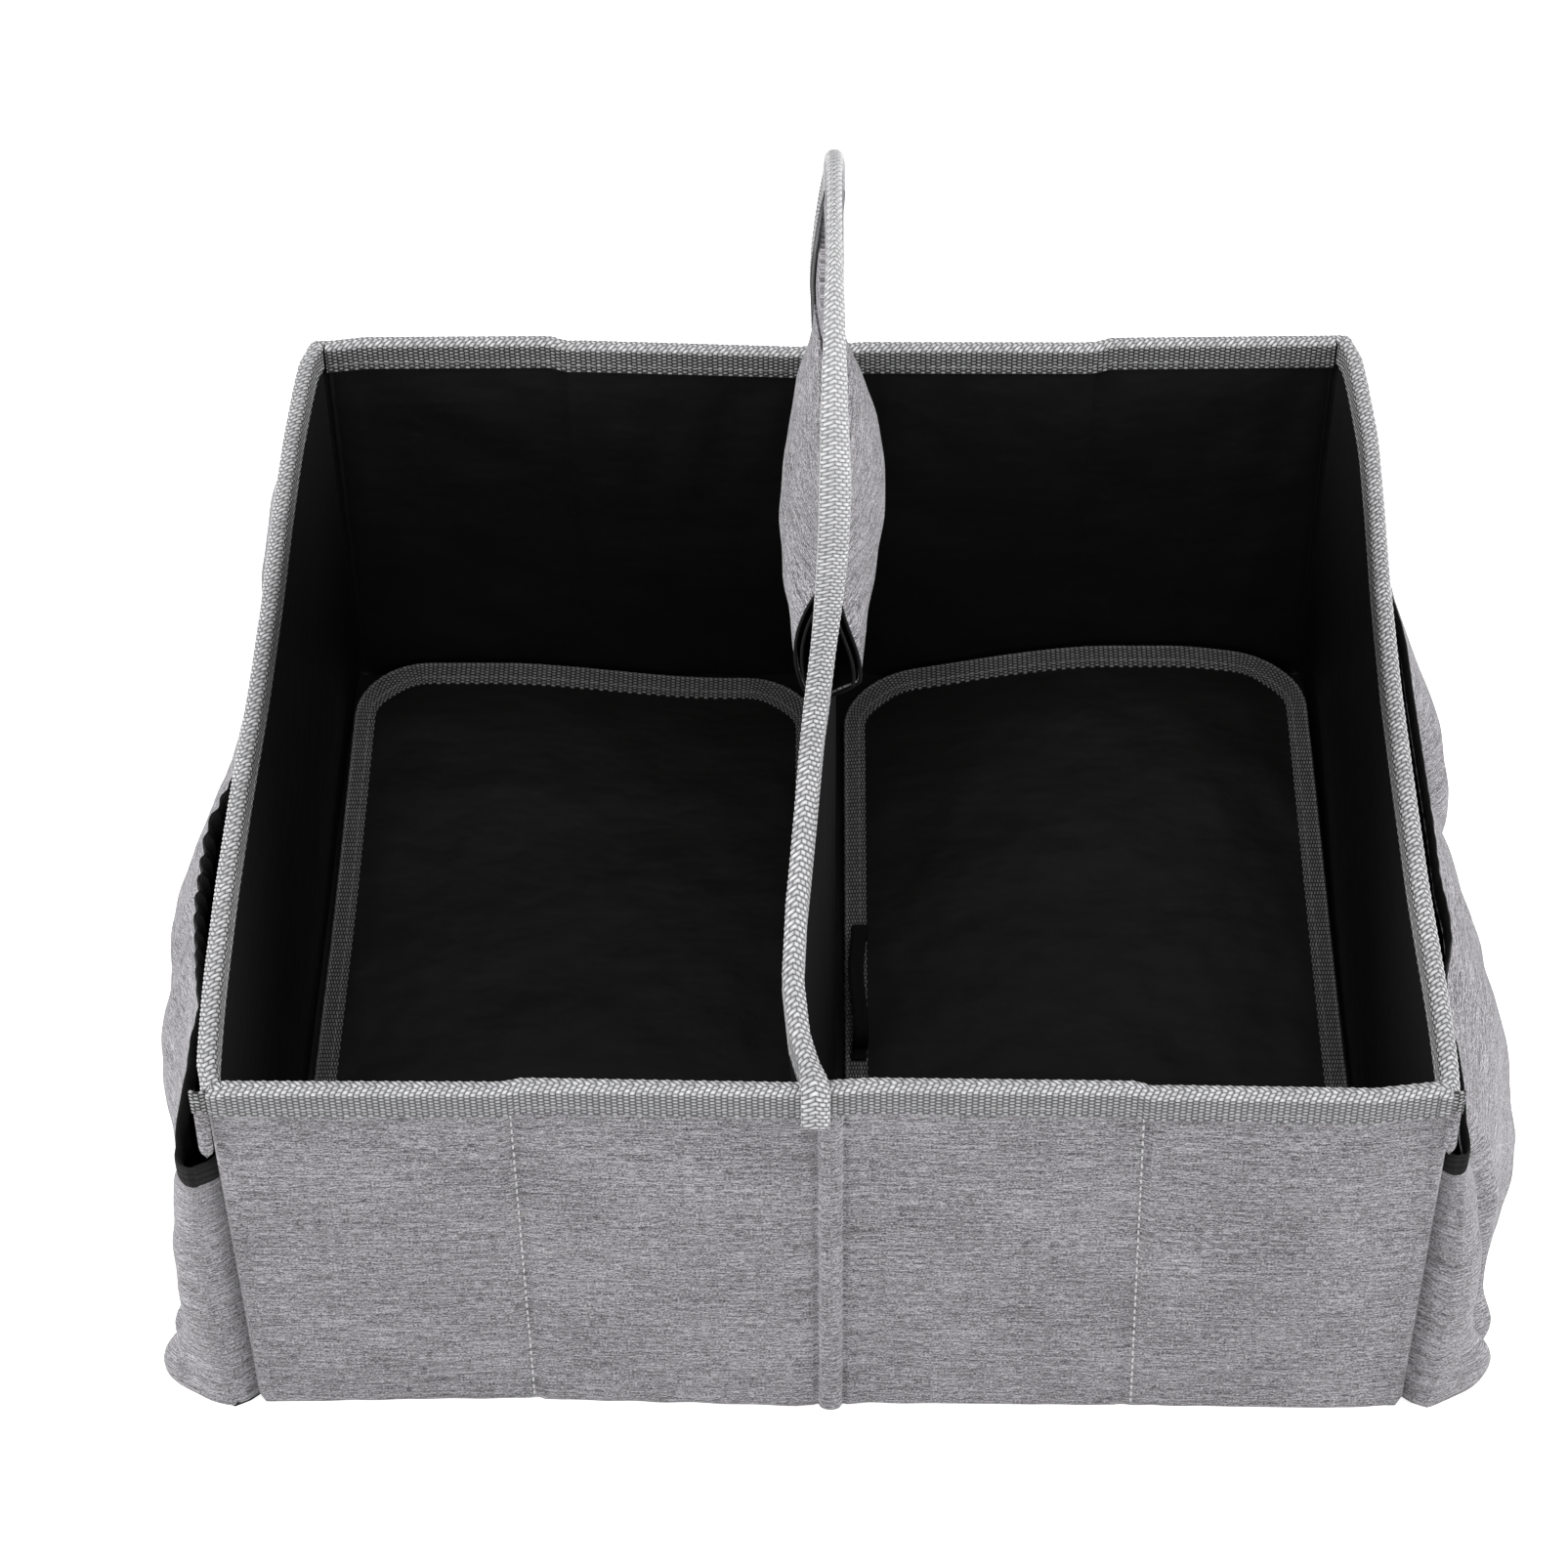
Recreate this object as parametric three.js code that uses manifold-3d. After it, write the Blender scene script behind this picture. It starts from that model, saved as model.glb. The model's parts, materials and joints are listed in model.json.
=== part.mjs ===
// A foldable fabric caddy: an open box with a centre divider that rises to a carrying handle.
// Millimetres, +Z up. The origin is the middle of the footprint, on the floor.
// +X is to the right, along the front wall, and +Y is towards the back wall.

import * as THREE from "three";
import { mergeVertices } from "three/addons/utils/BufferGeometryUtils.js";
import Module from "manifold-3d";

const wasm = await Module();
wasm.setup();

// Overall sizes
const width = 380;
const depth = 355;
const rimHeight = 165;
const handleTop = 365;

// Layers of a wall, from outside to inside
const bindingThickness = 1;
const clothThickness = 1;
const stiffenerThickness = 2;
const liningThickness = 0.8;
const layerGap = 0.1;
const bindingFlange = 11;

// Fold lines of the front and back walls
const centreHinge = 9.5;
const foldGap = 0.3;
const stiffenerFoot = 2;

// Floor
const baseClothThickness = 1;
const floorClearance = 0.3;

// Lift-up floor boards
const padThickness = 2.8;
const padBinding = 0.8;
const padBindingWidth = 12.5;
const padCornerRadius = 28;
const padEndClearance = 0.4;
const padDividerClearance = 3;
const padWallClearance = 5.5;
const padLift = 0.5;
const loopLength = 65;
const loopHeight = 12;
const loopStrap = 2;
const loopWidth = 6;
const loopInset = 2;

// Divider and handle
const dividerStiffener = 2.2;
const dividerLining = 0.8;
const shoulderReach = 53;
const shoulderRise = 3;
const neckHalf = 66;
const neckHeight = 255;
const neckLean = 6;
const neckDrop = 60;
const crownLean = 5;
const crownDrop = 75;
const crownReach = 58;
const handHoleLength = 100;
const handHoleHeight = 35;
const handHoleDrop = 52.5;
const handHoleHem = 1.5;
const ribWidth = 7.5;
const ribProud = 1;
const tailDrop = 16;
const tailThickness = 0.9;

// Pockets on the divider
const humpPocketRise = 49;
const humpPocketDrop = 6;
const humpPocketHalfBottom = 58;
const humpPocketHalfTop = 43;
const humpPocketBulge = 13;
const humpMouthShare = 0.5;
const humpMouthBulge = 8;
const humpHemWidth = 3;
const humpHemThickness = 2;

// Pockets outside the end walls
const pocketCloth = 1.2;
const pocketCornerInset = 3;
const pocketBottom = 1;
const pocketFootReach = 27;
const pocketBellyReach = 45;
const pocketBellyLow = 20;
const pocketBellyHigh = 88;
const pocketMouthReach = 13;
const pocketMouthDrop = 33;
const pocketMouthRise = 9;
const pocketSeamShare = 0.04;
const pocketRoundness = 2.6;
const elasticHeight = 10;
const elasticThickness = 1.6;

// The seams between the pouches, and how full each pouch is, from the front to the back
const rightPouches = { seams: [0], fullness: [0.85, 0.61] };
const leftPouches = { seams: [-70, 68], fullness: [0.79, 0.85, 0.46] };

// Sizes that follow from the ones above
const clothOut = bindingThickness;
const clothIn = clothOut + clothThickness;
const stiffenerOut = clothIn + layerGap;
const stiffenerIn = stiffenerOut + stiffenerThickness;
const liningOut = stiffenerIn + layerGap;
const liningIn = liningOut + liningThickness;
const wallDepth = liningIn + bindingThickness;
const capBottom = rimHeight - bindingThickness;
const wallTop = capBottom - layerGap;
const flangeBottom = rimHeight - bindingFlange;
const tailFoot = rimHeight - tailDrop;
const handHoleCentre = handleTop - handHoleDrop;
const humpPocketBottom = rimHeight + humpPocketRise;
const humpPocketTop = handHoleCentre - handHoleHeight / 2 - humpPocketDrop;
const pocketMouthLow = rimHeight - pocketMouthDrop;
const padStack = padThickness + padBinding * 2;
const cornerHinge = width / 2 - wallDepth;
const foldSeam = (centreHinge + cornerHinge) / 2;
const returnLength = wallDepth - foldGap / 2;
const innerDepth = depth / 2 - wallDepth;
const dividerHalf = dividerStiffener / 2 + layerGap + dividerLining;
const dividerFoot = floorClearance * 2 + baseClothThickness;
const dividerReach = innerDepth - foldGap;
const padFoot = dividerFoot + padLift - floorClearance;
const padTop = padFoot + padStack;

// Colours of the real materials
const heather = new THREE.MeshStandardMaterial({ color: 0x97949a, roughness: 0.9, metalness: 0 });
const webbing = new THREE.MeshStandardMaterial({ color: 0xaeaeb0, roughness: 0.8, metalness: 0 });
const lining = new THREE.MeshStandardMaterial({ color: 0x101011, roughness: 0.6, metalness: 0 });
const padCloth = new THREE.MeshStandardMaterial({ color: 0x1a1918, roughness: 0.65, metalness: 0 });
const elastic = new THREE.MeshStandardMaterial({ color: 0x18181a, roughness: 0.85, metalness: 0 });
const board = new THREE.MeshStandardMaterial({ color: 0xb89b6f, roughness: 0.9, metalness: 0 });

// A closed geometry as a solid that can be joined and cut
function solidOf(geometry) {
  const bare = geometry.clone();
  bare.deleteAttribute("normal");
  bare.deleteAttribute("uv");
  const merged = mergeVertices(bare, 1e-4);
  return new wasm.Manifold(
    new wasm.Mesh({
      numProp: 3,
      vertProperties: merged.attributes.position.array,
      triVerts: new Uint32Array(merged.index.array),
    }),
  );
}

function geometryOf(solid) {
  const mesh = solid.getMesh();
  const geometry = new THREE.BufferGeometry();
  geometry.setAttribute("position", new THREE.BufferAttribute(mesh.vertProperties, 3));
  geometry.setIndex(new THREE.BufferAttribute(mesh.triVerts, 1));
  geometry.computeVertexNormals();
  return geometry;
}

function shapeOf(points) {
  return new THREE.Shape(points.map(([x, y]) => new THREE.Vector2(x, y)));
}

// An outline in plan, raised from one height to another
function raised(points, low, high) {
  const geometry = new THREE.ExtrudeGeometry(shapeOf(points), { depth: high - low, bevelEnabled: false });
  return geometry.translate(0, 0, low);
}

// An outline in the divider's plane, given as (y, z), with its thickness along X
function upright(points, from, to) {
  const geometry = new THREE.ExtrudeGeometry(shapeOf(points), { depth: to - from, bevelEnabled: false });
  const turn = new THREE.Matrix4().makeBasis(
    new THREE.Vector3(0, 1, 0),
    new THREE.Vector3(0, 0, 1),
    new THREE.Vector3(1, 0, 0),
  );
  return geometry.applyMatrix4(turn).translate(from, 0, 0);
}

function block(x0, x1, y0, y1, z0, z1) {
  const geometry = new THREE.BoxGeometry(x1 - x0, y1 - y0, z1 - z0);
  return geometry.translate((x0 + x1) / 2, (y0 + y1) / 2, (z0 + z1) / 2);
}

// Two matching grids of points, closed round their edges into one thin body
function shell(outer, inner) {
  const rows = outer.length;
  const columns = outer[0].length;
  const points = [...outer.flat(), ...inner.flat()];
  const at = (layer, r, c) => layer * rows * columns + r * columns + c;
  const faces = [];
  const quad = (a, b, c, d) => faces.push(a, b, c, a, c, d);
  for (let r = 0; r + 1 < rows; r++) {
    for (let c = 0; c + 1 < columns; c++) {
      quad(at(0, r, c), at(0, r, c + 1), at(0, r + 1, c + 1), at(0, r + 1, c));
      quad(at(1, r, c), at(1, r + 1, c), at(1, r + 1, c + 1), at(1, r, c + 1));
    }
  }
  for (let c = 0; c + 1 < columns; c++) {
    quad(at(1, 0, c), at(1, 0, c + 1), at(0, 0, c + 1), at(0, 0, c));
    quad(at(0, rows - 1, c), at(0, rows - 1, c + 1), at(1, rows - 1, c + 1), at(1, rows - 1, c));
  }
  for (let r = 0; r + 1 < rows; r++) {
    quad(at(0, r, 0), at(0, r + 1, 0), at(1, r + 1, 0), at(1, r, 0));
    quad(at(1, r, columns - 1), at(1, r + 1, columns - 1), at(0, r + 1, columns - 1), at(0, r, columns - 1));
  }
  const geometry = new THREE.BufferGeometry().setFromPoints(points);
  geometry.setIndex(faces);
  if (signedVolume(points, faces) < 0) {
    for (let i = 0; i < faces.length; i += 3) [faces[i + 1], faces[i + 2]] = [faces[i + 2], faces[i + 1]];
    geometry.setIndex(faces);
  }
  geometry.computeVertexNormals();
  return geometry;
}

function signedVolume(points, faces) {
  let sum = 0;
  const cross = new THREE.Vector3();
  for (let i = 0; i < faces.length; i += 3) {
    cross.crossVectors(points[faces[i + 1]], points[faces[i + 2]]);
    sum += points[faces[i]].dot(cross);
  }
  return sum / 6;
}

function piece(name, geometry, material) {
  const mesh = new THREE.Mesh(geometry, material);
  mesh.name = name;
  return mesh;
}

// A straight wall layer between two depths from the wall's outer face, which is at y = 0
function strip(length, from, to) {
  return [
    [0, from],
    [length, from],
    [length, to],
    [0, to],
  ];
}

// The same layer of an end wall, which turns both corners to meet the long walls
function channel(from, to) {
  return [
    [from, returnLength],
    [from, from],
    [depth - from, from],
    [depth - from, returnLength],
    [depth - to, returnLength],
    [depth - to, to],
    [to, to],
    [to, returnLength],
  ];
}

// Cloth, stiffener, lining and rim binding of one stiff panel. The outline function gives a layer in plan.
function panel(name, outline) {
  const group = new THREE.Group();
  group.add(piece(`${name}_cloth`, raised(outline(clothOut, clothIn), 0, wallTop), heather));
  const stiff = raised(outline(stiffenerOut, stiffenerIn), stiffenerFoot, wallTop);
  group.add(piece(`${name}_stiffener`, stiff, board));
  group.add(piece(`${name}_lining`, raised(outline(liningOut, liningIn), 0, wallTop), lining));
  const cap = solidOf(raised(outline(0, wallDepth), capBottom, rimHeight));
  const outside = solidOf(raised(outline(0, bindingThickness - layerGap), flangeBottom, capBottom));
  const inside = solidOf(raised(outline(liningIn + layerGap, wallDepth), flangeBottom, capBottom));
  group.add(piece(`${name}_binding`, geometryOf(cap.add(outside).add(inside)), webbing));
  return group;
}

// One of the eight stiff panels of the front and back walls, between two places along X
function longWallPanel(face, side, part, near, far) {
  const length = far - near - foldGap;
  const group = panel(`${side}_${face}_${part}`, (from, to) => strip(length, from, to));
  const start = (side === "right" ? near : -far) + foldGap / 2;
  if (face === "front") {
    group.position.set(start, -depth / 2, 0);
  } else {
    group.position.set(start + length, depth / 2, 0);
    group.rotation.z = Math.PI;
  }
  return group;
}

// Which pouch of an end wall holds a place along it
function pouchNumber(along, seams) {
  return Math.max(seams.findIndex((seam) => seam >= along) - 1, 0);
}

// How far a pouch stands out at a place along the end wall, from its seams to 1 at its middle
function pouchShare(along, seams) {
  const number = pouchNumber(along, seams);
  const low = seams[number];
  const high = seams[number + 1];
  const offset = Math.min(Math.abs((2 * (along - low)) / (high - low) - 1), 1);
  const round = (1 - offset ** pocketRoundness) ** (1 / pocketRoundness);
  return pocketSeamShare + (1 - pocketSeamShare) * round;
}

// Places along the end wall where the pocket's cloth is drawn, closer together near its seams
function pouchStations(seams, steps) {
  const stations = [seams[0]];
  for (let k = 0; k + 1 < seams.length; k++) {
    for (let i = 1; i <= steps; i++) {
      const share = (1 - Math.cos((Math.PI * i) / steps)) / 2;
      stations.push(seams[k] + (seams[k + 1] - seams[k]) * share);
    }
  }
  return stations;
}

function pouchMouth(share) {
  return pocketMouthLow + pocketMouthRise * share;
}

// The side view of a pouch: along its foot, then up over its belly to its mouth
function pouchProfile(share, fullness, inset) {
  const bellyReach = pocketBellyReach * fullness - inset;
  const curve = new THREE.CubicBezierCurve(
    new THREE.Vector2(pocketFootReach * fullness - inset, pocketBottom + inset),
    new THREE.Vector2(bellyReach, pocketBellyLow),
    new THREE.Vector2(bellyReach, pocketBellyHigh),
    new THREE.Vector2(pocketMouthReach - inset, pouchMouth(share)),
  );
  const wall = new THREE.Vector2(0, pocketBottom + inset);
  return [wall, ...curve.getPoints(9)];
}

// Pocket cloth and elastic band outside one end wall, in the end wall's own plan
function endPocket(name, seams, fullness) {
  const group = new THREE.Group();
  const cloth = (inset, lift) =>
    pouchStations(seams, 10).map((along) => {
      const share = pouchShare(along, seams);
      return pouchProfile(share, fullness[pouchNumber(along, seams)], inset).map(
        (p) => new THREE.Vector3(along, clothOut - foldGap - lift - p.x * share, p.y),
      );
    });
  group.add(piece(`${name}_pocket`, shell(cloth(0, pocketCloth), cloth(pocketCloth, 0)), heather));
  const band = (lift) =>
    pouchStations(seams, 10).map((along) => {
      const share = pouchShare(along, seams);
      const out = clothOut - foldGap - lift - (pocketMouthReach - elasticThickness) * share;
      return [foldGap, elasticHeight].map((up) => new THREE.Vector3(along, out, pouchMouth(share) + up));
    });
  group.add(piece(`${name}_elastic`, shell(band(elasticThickness), band(0)), elastic));
  return group;
}

function endWall(side, pouches) {
  const group = panel(`${side}_end`, channel);
  const inWall = pouches.seams.map((y) => (side === "right" ? depth / 2 + y : depth / 2 - y));
  const fullness = side === "right" ? pouches.fullness : pouches.fullness.toReversed();
  const ends = [clothIn + pocketCornerInset, depth - clothIn - pocketCornerInset];
  const seams = [ends[0], ...inWall.sort((a, b) => a - b), ends[1]];
  group.add(endPocket(`${side}_end`, seams, fullness));
  const facing = side === "right" ? 1 : -1;
  group.position.set((facing * width) / 2, (-facing * depth) / 2, 0);
  group.rotation.z = (facing * Math.PI) / 2;
  return group;
}

function roundedRectangle(x0, x1, y0, y1, radius) {
  const points = [];
  const corners = [
    [x1 - radius, y1 - radius, 0],
    [x0 + radius, y1 - radius, 1],
    [x0 + radius, y0 + radius, 2],
    [x1 - radius, y0 + radius, 3],
  ];
  for (const [x, y, quarter] of corners) {
    for (let i = 0; i <= 6; i++) {
      const angle = ((quarter + i / 6) * Math.PI) / 2;
      points.push([x + radius * Math.cos(angle), y + radius * Math.sin(angle)]);
    }
  }
  return points;
}

// A lift-up floor board with its binding and pull loop, drawn for the right half
function floorBoard(side) {
  const group = new THREE.Group();
  const x0 = dividerHalf + padDividerClearance;
  const x1 = width / 2 - wallDepth - padEndClearance;
  const reach = innerDepth - padWallClearance;
  const outline = (inset) =>
    roundedRectangle(x0 + inset, x1 - inset, -reach + inset, reach - inset, padCornerRadius - inset);
  const slot = [padFoot + padBinding, padTop - padBinding];
  const pad = raised(outline(padBinding + layerGap), slot[0] + layerGap, slot[1] - layerGap);
  group.add(piece(`${side}_floor_pad`, pad, padCloth));
  const edge = solidOf(raised(outline(0), padFoot, padTop))
    .subtract(solidOf(raised(outline(padBinding), slot[0], slot[1])))
    .subtract(solidOf(raised(outline(padBindingWidth), padFoot - 1, padTop + 1)));
  group.add(piece(`${side}_floor_binding`, geometryOf(edge), webbing));
  const seat = padTop + layerGap;
  const arch = (inset) => {
    const half = loopLength / 2 - inset;
    const points = [[half, seat]];
    for (let i = 0; i <= 12; i++) {
      const angle = (i / 12) * Math.PI;
      const swell = Math.sin(angle) ** 0.5;
      points.push([half * Math.cos(angle), seat + loopStrap + (loopHeight - loopStrap - inset) * swell]);
    }
    points.push([-half, seat]);
    return points;
  };
  const strap = arch(0).concat(arch(loopStrap).reverse());
  const loop = upright(strap, x0 + loopInset, x0 + loopInset + loopWidth);
  group.add(piece(`${side}_floor_loop`, loop, elastic));
  if (side === "left") group.rotation.z = Math.PI;
  return group;
}

// The front half of the divider's top edge, from the rim to the middle of the handle, as (y, z)
function humpEdge() {
  const lower = new THREE.CubicBezierCurve(
    new THREE.Vector2(-dividerReach, wallTop),
    new THREE.Vector2(-dividerReach + shoulderReach, wallTop + shoulderRise),
    new THREE.Vector2(-neckHalf - neckLean, neckHeight - neckDrop),
    new THREE.Vector2(-neckHalf, neckHeight),
  );
  const top = handleTop - bindingThickness;
  const upper = new THREE.CubicBezierCurve(
    new THREE.Vector2(-neckHalf, neckHeight),
    new THREE.Vector2(-neckHalf + crownLean, handleTop - crownDrop),
    new THREE.Vector2(-crownReach, top),
    new THREE.Vector2(0, top),
  );
  return [...lower.getPoints(10), ...upper.getPoints(12).slice(1)];
}

// The whole top edge from front to back, moved outwards by a distance
function topEdge(out) {
  const front = humpEdge();
  const back = front.slice(0, -1).reverse().map((p) => new THREE.Vector2(-p.x, p.y));
  const line = [...front, ...back];
  return line.map((p, i) => {
    const before = line[Math.max(i - 1, 0)];
    const after = line[Math.min(i + 1, line.length - 1)];
    const along = after.clone().sub(before).normalize();
    const moved = [p.x - along.y * out, p.y + along.x * out];
    if (i === 0) return [-dividerReach, moved[1]];
    if (i === line.length - 1) return [dividerReach, moved[1]];
    return moved;
  });
}

// The divider's outline, drawn in from its edges by an inset
function dividerOutline(inset, foot) {
  const edge = topEdge(-inset).map(([y, z]) => [Math.sign(y) * Math.min(Math.abs(y), dividerReach - inset), z]);
  return [[dividerReach - inset, foot], ...edge.reverse(), [-dividerReach + inset, foot]];
}

// The hand hole, a slot with round ends
function handHole(spare) {
  const radius = handHoleHeight / 2 + spare;
  const straight = (handHoleLength - handHoleHeight) / 2;
  const points = [];
  for (let i = 0; i < 24; i++) {
    const angle = ((i + 0.5) / 24) * 2 * Math.PI;
    const shift = Math.cos(angle) > 0 ? straight : -straight;
    points.push([shift + radius * Math.cos(angle), handHoleCentre + radius * Math.sin(angle)]);
  }
  return points;
}

function dividerPieces() {
  const group = new THREE.Group();
  const past = dividerHalf + 1;
  const inside = dividerStiffener / 2 + layerGap;
  const core = solidOf(upright(dividerOutline(foldGap * 3, dividerFoot), -dividerStiffener / 2, dividerStiffener / 2));
  const coreHole = solidOf(upright(handHole(handHoleHem), -past, past));
  group.add(piece("divider_stiffener", geometryOf(core.subtract(coreHole)), board));

  const pocketHole = solidOf(upright(handHole(handHoleHem - foldGap), -past, past));
  const slot = solidOf(upright(dividerOutline(foldGap * 2, dividerFoot - 1), -inside, inside)).subtract(pocketHole);
  const sleeve = solidOf(upright(dividerOutline(0, dividerFoot), -dividerHalf, dividerHalf))
    .subtract(slot)
    .subtract(solidOf(upright(handHole(0), -past, past)));
  group.add(piece("divider_lining", geometryOf(sleeve), lining));
  group.add(piece("divider_binding", geometryOf(dividerBinding()), webbing));
  return group;
}

// Webbing folded over the divider's top edge, with its ends over the front and back rim
function dividerBinding() {
  const half = dividerHalf + bindingThickness;
  const stub = centreHinge - foldGap / 2;
  const band = topEdge(bindingThickness).concat(topEdge(layerGap - bindingFlange).reverse());
  const over = topEdge(layerGap);
  const seat = over[0][1];
  const end = dividerReach + layerGap / 2;
  const core = [[end, flangeBottom - 2], [end, seat]]
    .concat(over.slice(1, -1).reverse())
    .concat([[-end, seat], [-end, flangeBottom - 2]]);
  const between = (face, from, to) => {
    const ends = [from, to].map((into) => face * (depth / 2 - into));
    return [Math.min(...ends), Math.max(...ends)];
  };
  let solid = solidOf(upright(band, -half, half));
  for (const face of [-1, 1]) {
    const link = between(face, liningIn + layerGap, wallDepth + foldGap * 3);
    solid = solid.add(solidOf(block(-half, half, ...link, flangeBottom, rimHeight)));
  }
  const sides = dividerHalf + layerGap;
  solid = solid.subtract(solidOf(upright(core, -sides, sides)));
  for (const face of [-1, 1]) {
    const pieces = [
      block(-stub, stub, ...between(face, 0, wallDepth), capBottom, rimHeight),
      block(-stub, stub, ...between(face, 0, bindingThickness - layerGap), flangeBottom, capBottom),
      block(-stub, stub, ...between(face, liningIn + layerGap, wallDepth), flangeBottom, capBottom),
      block(-ribWidth / 2, ribWidth / 2, ...between(face, -tailThickness, layerGap), flangeBottom, rimHeight),
      block(-ribWidth / 2, ribWidth / 2, ...between(face, -tailThickness, -layerGap), tailFoot, rimHeight),
    ];
    for (const geometry of pieces) solid = solid.add(solidOf(geometry));
  }
  return solid;
}

// The short middle stretch of a long wall that holds the divider, with its proud rib outside
function centreRib(face) {
  const stub = centreHinge - foldGap / 2;
  const outer = -depth / 2;
  const wall = solidOf(block(-stub, stub, outer + clothOut, outer + liningIn, 0, wallTop));
  const top = tailFoot - layerGap;
  const proud = new THREE.CylinderGeometry(ribWidth / 2, ribWidth / 2, top, 16, 1);
  proud.scale(1, 1, (2 * (ribProud + clothOut)) / ribWidth);
  proud.rotateX(Math.PI / 2).translate(0, outer + clothOut, top / 2);
  const mesh = piece(`${face}_rib`, geometryOf(wall.add(solidOf(proud))), heather);
  if (face === "back") mesh.rotation.z = Math.PI;
  return mesh;
}

// How far a divider pocket stands out. Along runs 0 to 1 from its open front edge, and up from its foot.
function humpPocketStand(along, up) {
  const belly = humpPocketBulge * Math.sin(Math.PI * along) ** 0.8 * Math.sin(Math.PI * up) ** 0.7;
  const mouthUp = Math.min(up / humpMouthShare, 1);
  const mouth = humpMouthBulge * Math.sin(Math.PI * mouthUp) ** 0.8 * (1 - along) ** 3;
  return Math.max(belly, 0) + Math.max(mouth, 0);
}

function humpPocketPoint(along, up, side, lift) {
  const half = humpPocketHalfBottom + (humpPocketHalfTop - humpPocketHalfBottom) * up;
  const y = -half + 2 * half * along;
  const z = humpPocketBottom + (humpPocketTop - humpPocketBottom) * up;
  const x = dividerHalf + foldGap + lift + humpPocketStand(along, up);
  return new THREE.Vector3(side * x, y, z);
}

function grid(rows, columns, point) {
  return Array.from({ length: rows + 1 }, (_, r) =>
    Array.from({ length: columns + 1 }, (_, c) => point(c / columns, r / rows)),
  );
}

// The pocket on one face of the divider, and the elastic hem at its open front edge
function humpPocket(name, side) {
  const group = new THREE.Group();
  const cloth = (lift) => grid(12, 14, (along, up) => humpPocketPoint(along, up, side, lift));
  group.add(piece(`${name}_divider_pocket`, shell(cloth(pocketCloth), cloth(0)), heather));
  const hem = (lift) =>
    grid(8, 1, (across, up) => {
      const edge = humpPocketPoint(0, up * humpMouthShare, side, lift);
      edge.y -= foldGap + humpHemWidth * (1 - across);
      return edge;
    });
  group.add(piece(`${name}_divider_elastic`, shell(hem(humpHemThickness), hem(0)), elastic));
  return group;
}

function baseCloth() {
  const x = width / 2 - liningIn - floorClearance;
  const y = depth / 2 - liningIn - floorClearance;
  const geometry = block(-x, x, -y, y, floorClearance, floorClearance + baseClothThickness);
  return piece("base_cloth", geometry, lining);
}

const caddy = new THREE.Group();
caddy.add(dividerPieces());
caddy.add(centreRib("front"), centreRib("back"));
caddy.add(humpPocket("left", -1), humpPocket("right", 1));
caddy.add(baseCloth());
for (const side of ["left", "right"]) {
  for (const face of ["front", "back"]) {
    caddy.add(longWallPanel(face, side, "inner", centreHinge, foldSeam));
    caddy.add(longWallPanel(face, side, "outer", foldSeam, cornerHinge));
  }
  caddy.add(endWall(side, side === "right" ? rightPouches : leftPouches));
  caddy.add(floorBoard(side));
}

export default caddy;
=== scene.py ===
# A foldable fabric caddy: heather cloth walls with a black lining, woven webbing over every edge,
# a divider that rises to a carrying handle, gathered outer pouches and lift-up floor boards.
# Metres, +Z up. The origin is the middle of the footprint, on the floor.
import json
import math

import bmesh
import bpy
import numpy as np
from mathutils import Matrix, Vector


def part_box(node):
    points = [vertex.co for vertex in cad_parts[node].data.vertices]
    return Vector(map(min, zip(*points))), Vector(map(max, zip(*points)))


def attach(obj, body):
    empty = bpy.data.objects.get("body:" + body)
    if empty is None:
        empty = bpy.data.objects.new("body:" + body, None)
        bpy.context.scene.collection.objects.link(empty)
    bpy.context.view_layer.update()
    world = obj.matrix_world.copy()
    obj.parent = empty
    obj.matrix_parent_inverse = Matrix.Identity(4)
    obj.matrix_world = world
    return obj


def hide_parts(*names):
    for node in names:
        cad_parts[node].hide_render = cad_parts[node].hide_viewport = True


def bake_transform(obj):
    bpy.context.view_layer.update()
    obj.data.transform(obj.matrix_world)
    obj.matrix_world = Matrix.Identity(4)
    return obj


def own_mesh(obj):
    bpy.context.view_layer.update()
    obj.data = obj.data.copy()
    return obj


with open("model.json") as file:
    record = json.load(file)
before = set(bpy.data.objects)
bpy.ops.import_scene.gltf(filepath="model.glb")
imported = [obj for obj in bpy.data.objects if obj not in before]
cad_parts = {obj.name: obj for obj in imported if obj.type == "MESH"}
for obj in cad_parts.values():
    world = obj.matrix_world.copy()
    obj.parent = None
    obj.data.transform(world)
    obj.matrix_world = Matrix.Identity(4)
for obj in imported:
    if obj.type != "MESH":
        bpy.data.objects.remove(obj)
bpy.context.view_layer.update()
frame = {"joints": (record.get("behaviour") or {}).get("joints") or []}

bl_info = {
    "name": "Fabric caddy",
    "version": (1, 0, 0),
    "blender": (4, 5, 0),
    "location": "3D View > Sidebar > Caddy",
    "description": "Builds the cloth, webbing and boards of a foldable fabric caddy",
    "category": "Object",
}

hinges = {joint["name"]: joint["pos_m"] for joint in frame["joints"]}

# Sizes of the frame that the cloth follows
half_width, half_depth, rim_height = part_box("right_end_binding")[1]
wall_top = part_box("right_end_cloth")[1].z
flange_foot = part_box("right_end_binding")[0].z
centre_hinge = hinges["right_fold"][0]
quarter_seam = hinges["right_front_seam"][0]
corner_hinge = hinges["right_front_corner"][0]
wall_depth = half_width - corner_hinge
cloth_depth = half_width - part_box("right_end_cloth")[1].x
board_depth = half_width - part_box("right_end_stiffener")[1].x
lining_depth = half_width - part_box("right_end_lining")[1].x
rib_reach = centre_hinge
CLOTH_LAYER = 0.0009
LINING_LAYER = 0.0006
LINING_PROUD = 0.0008
RIM_CROWN = 0.0017
WEBBING_ANGLE = 60

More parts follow.
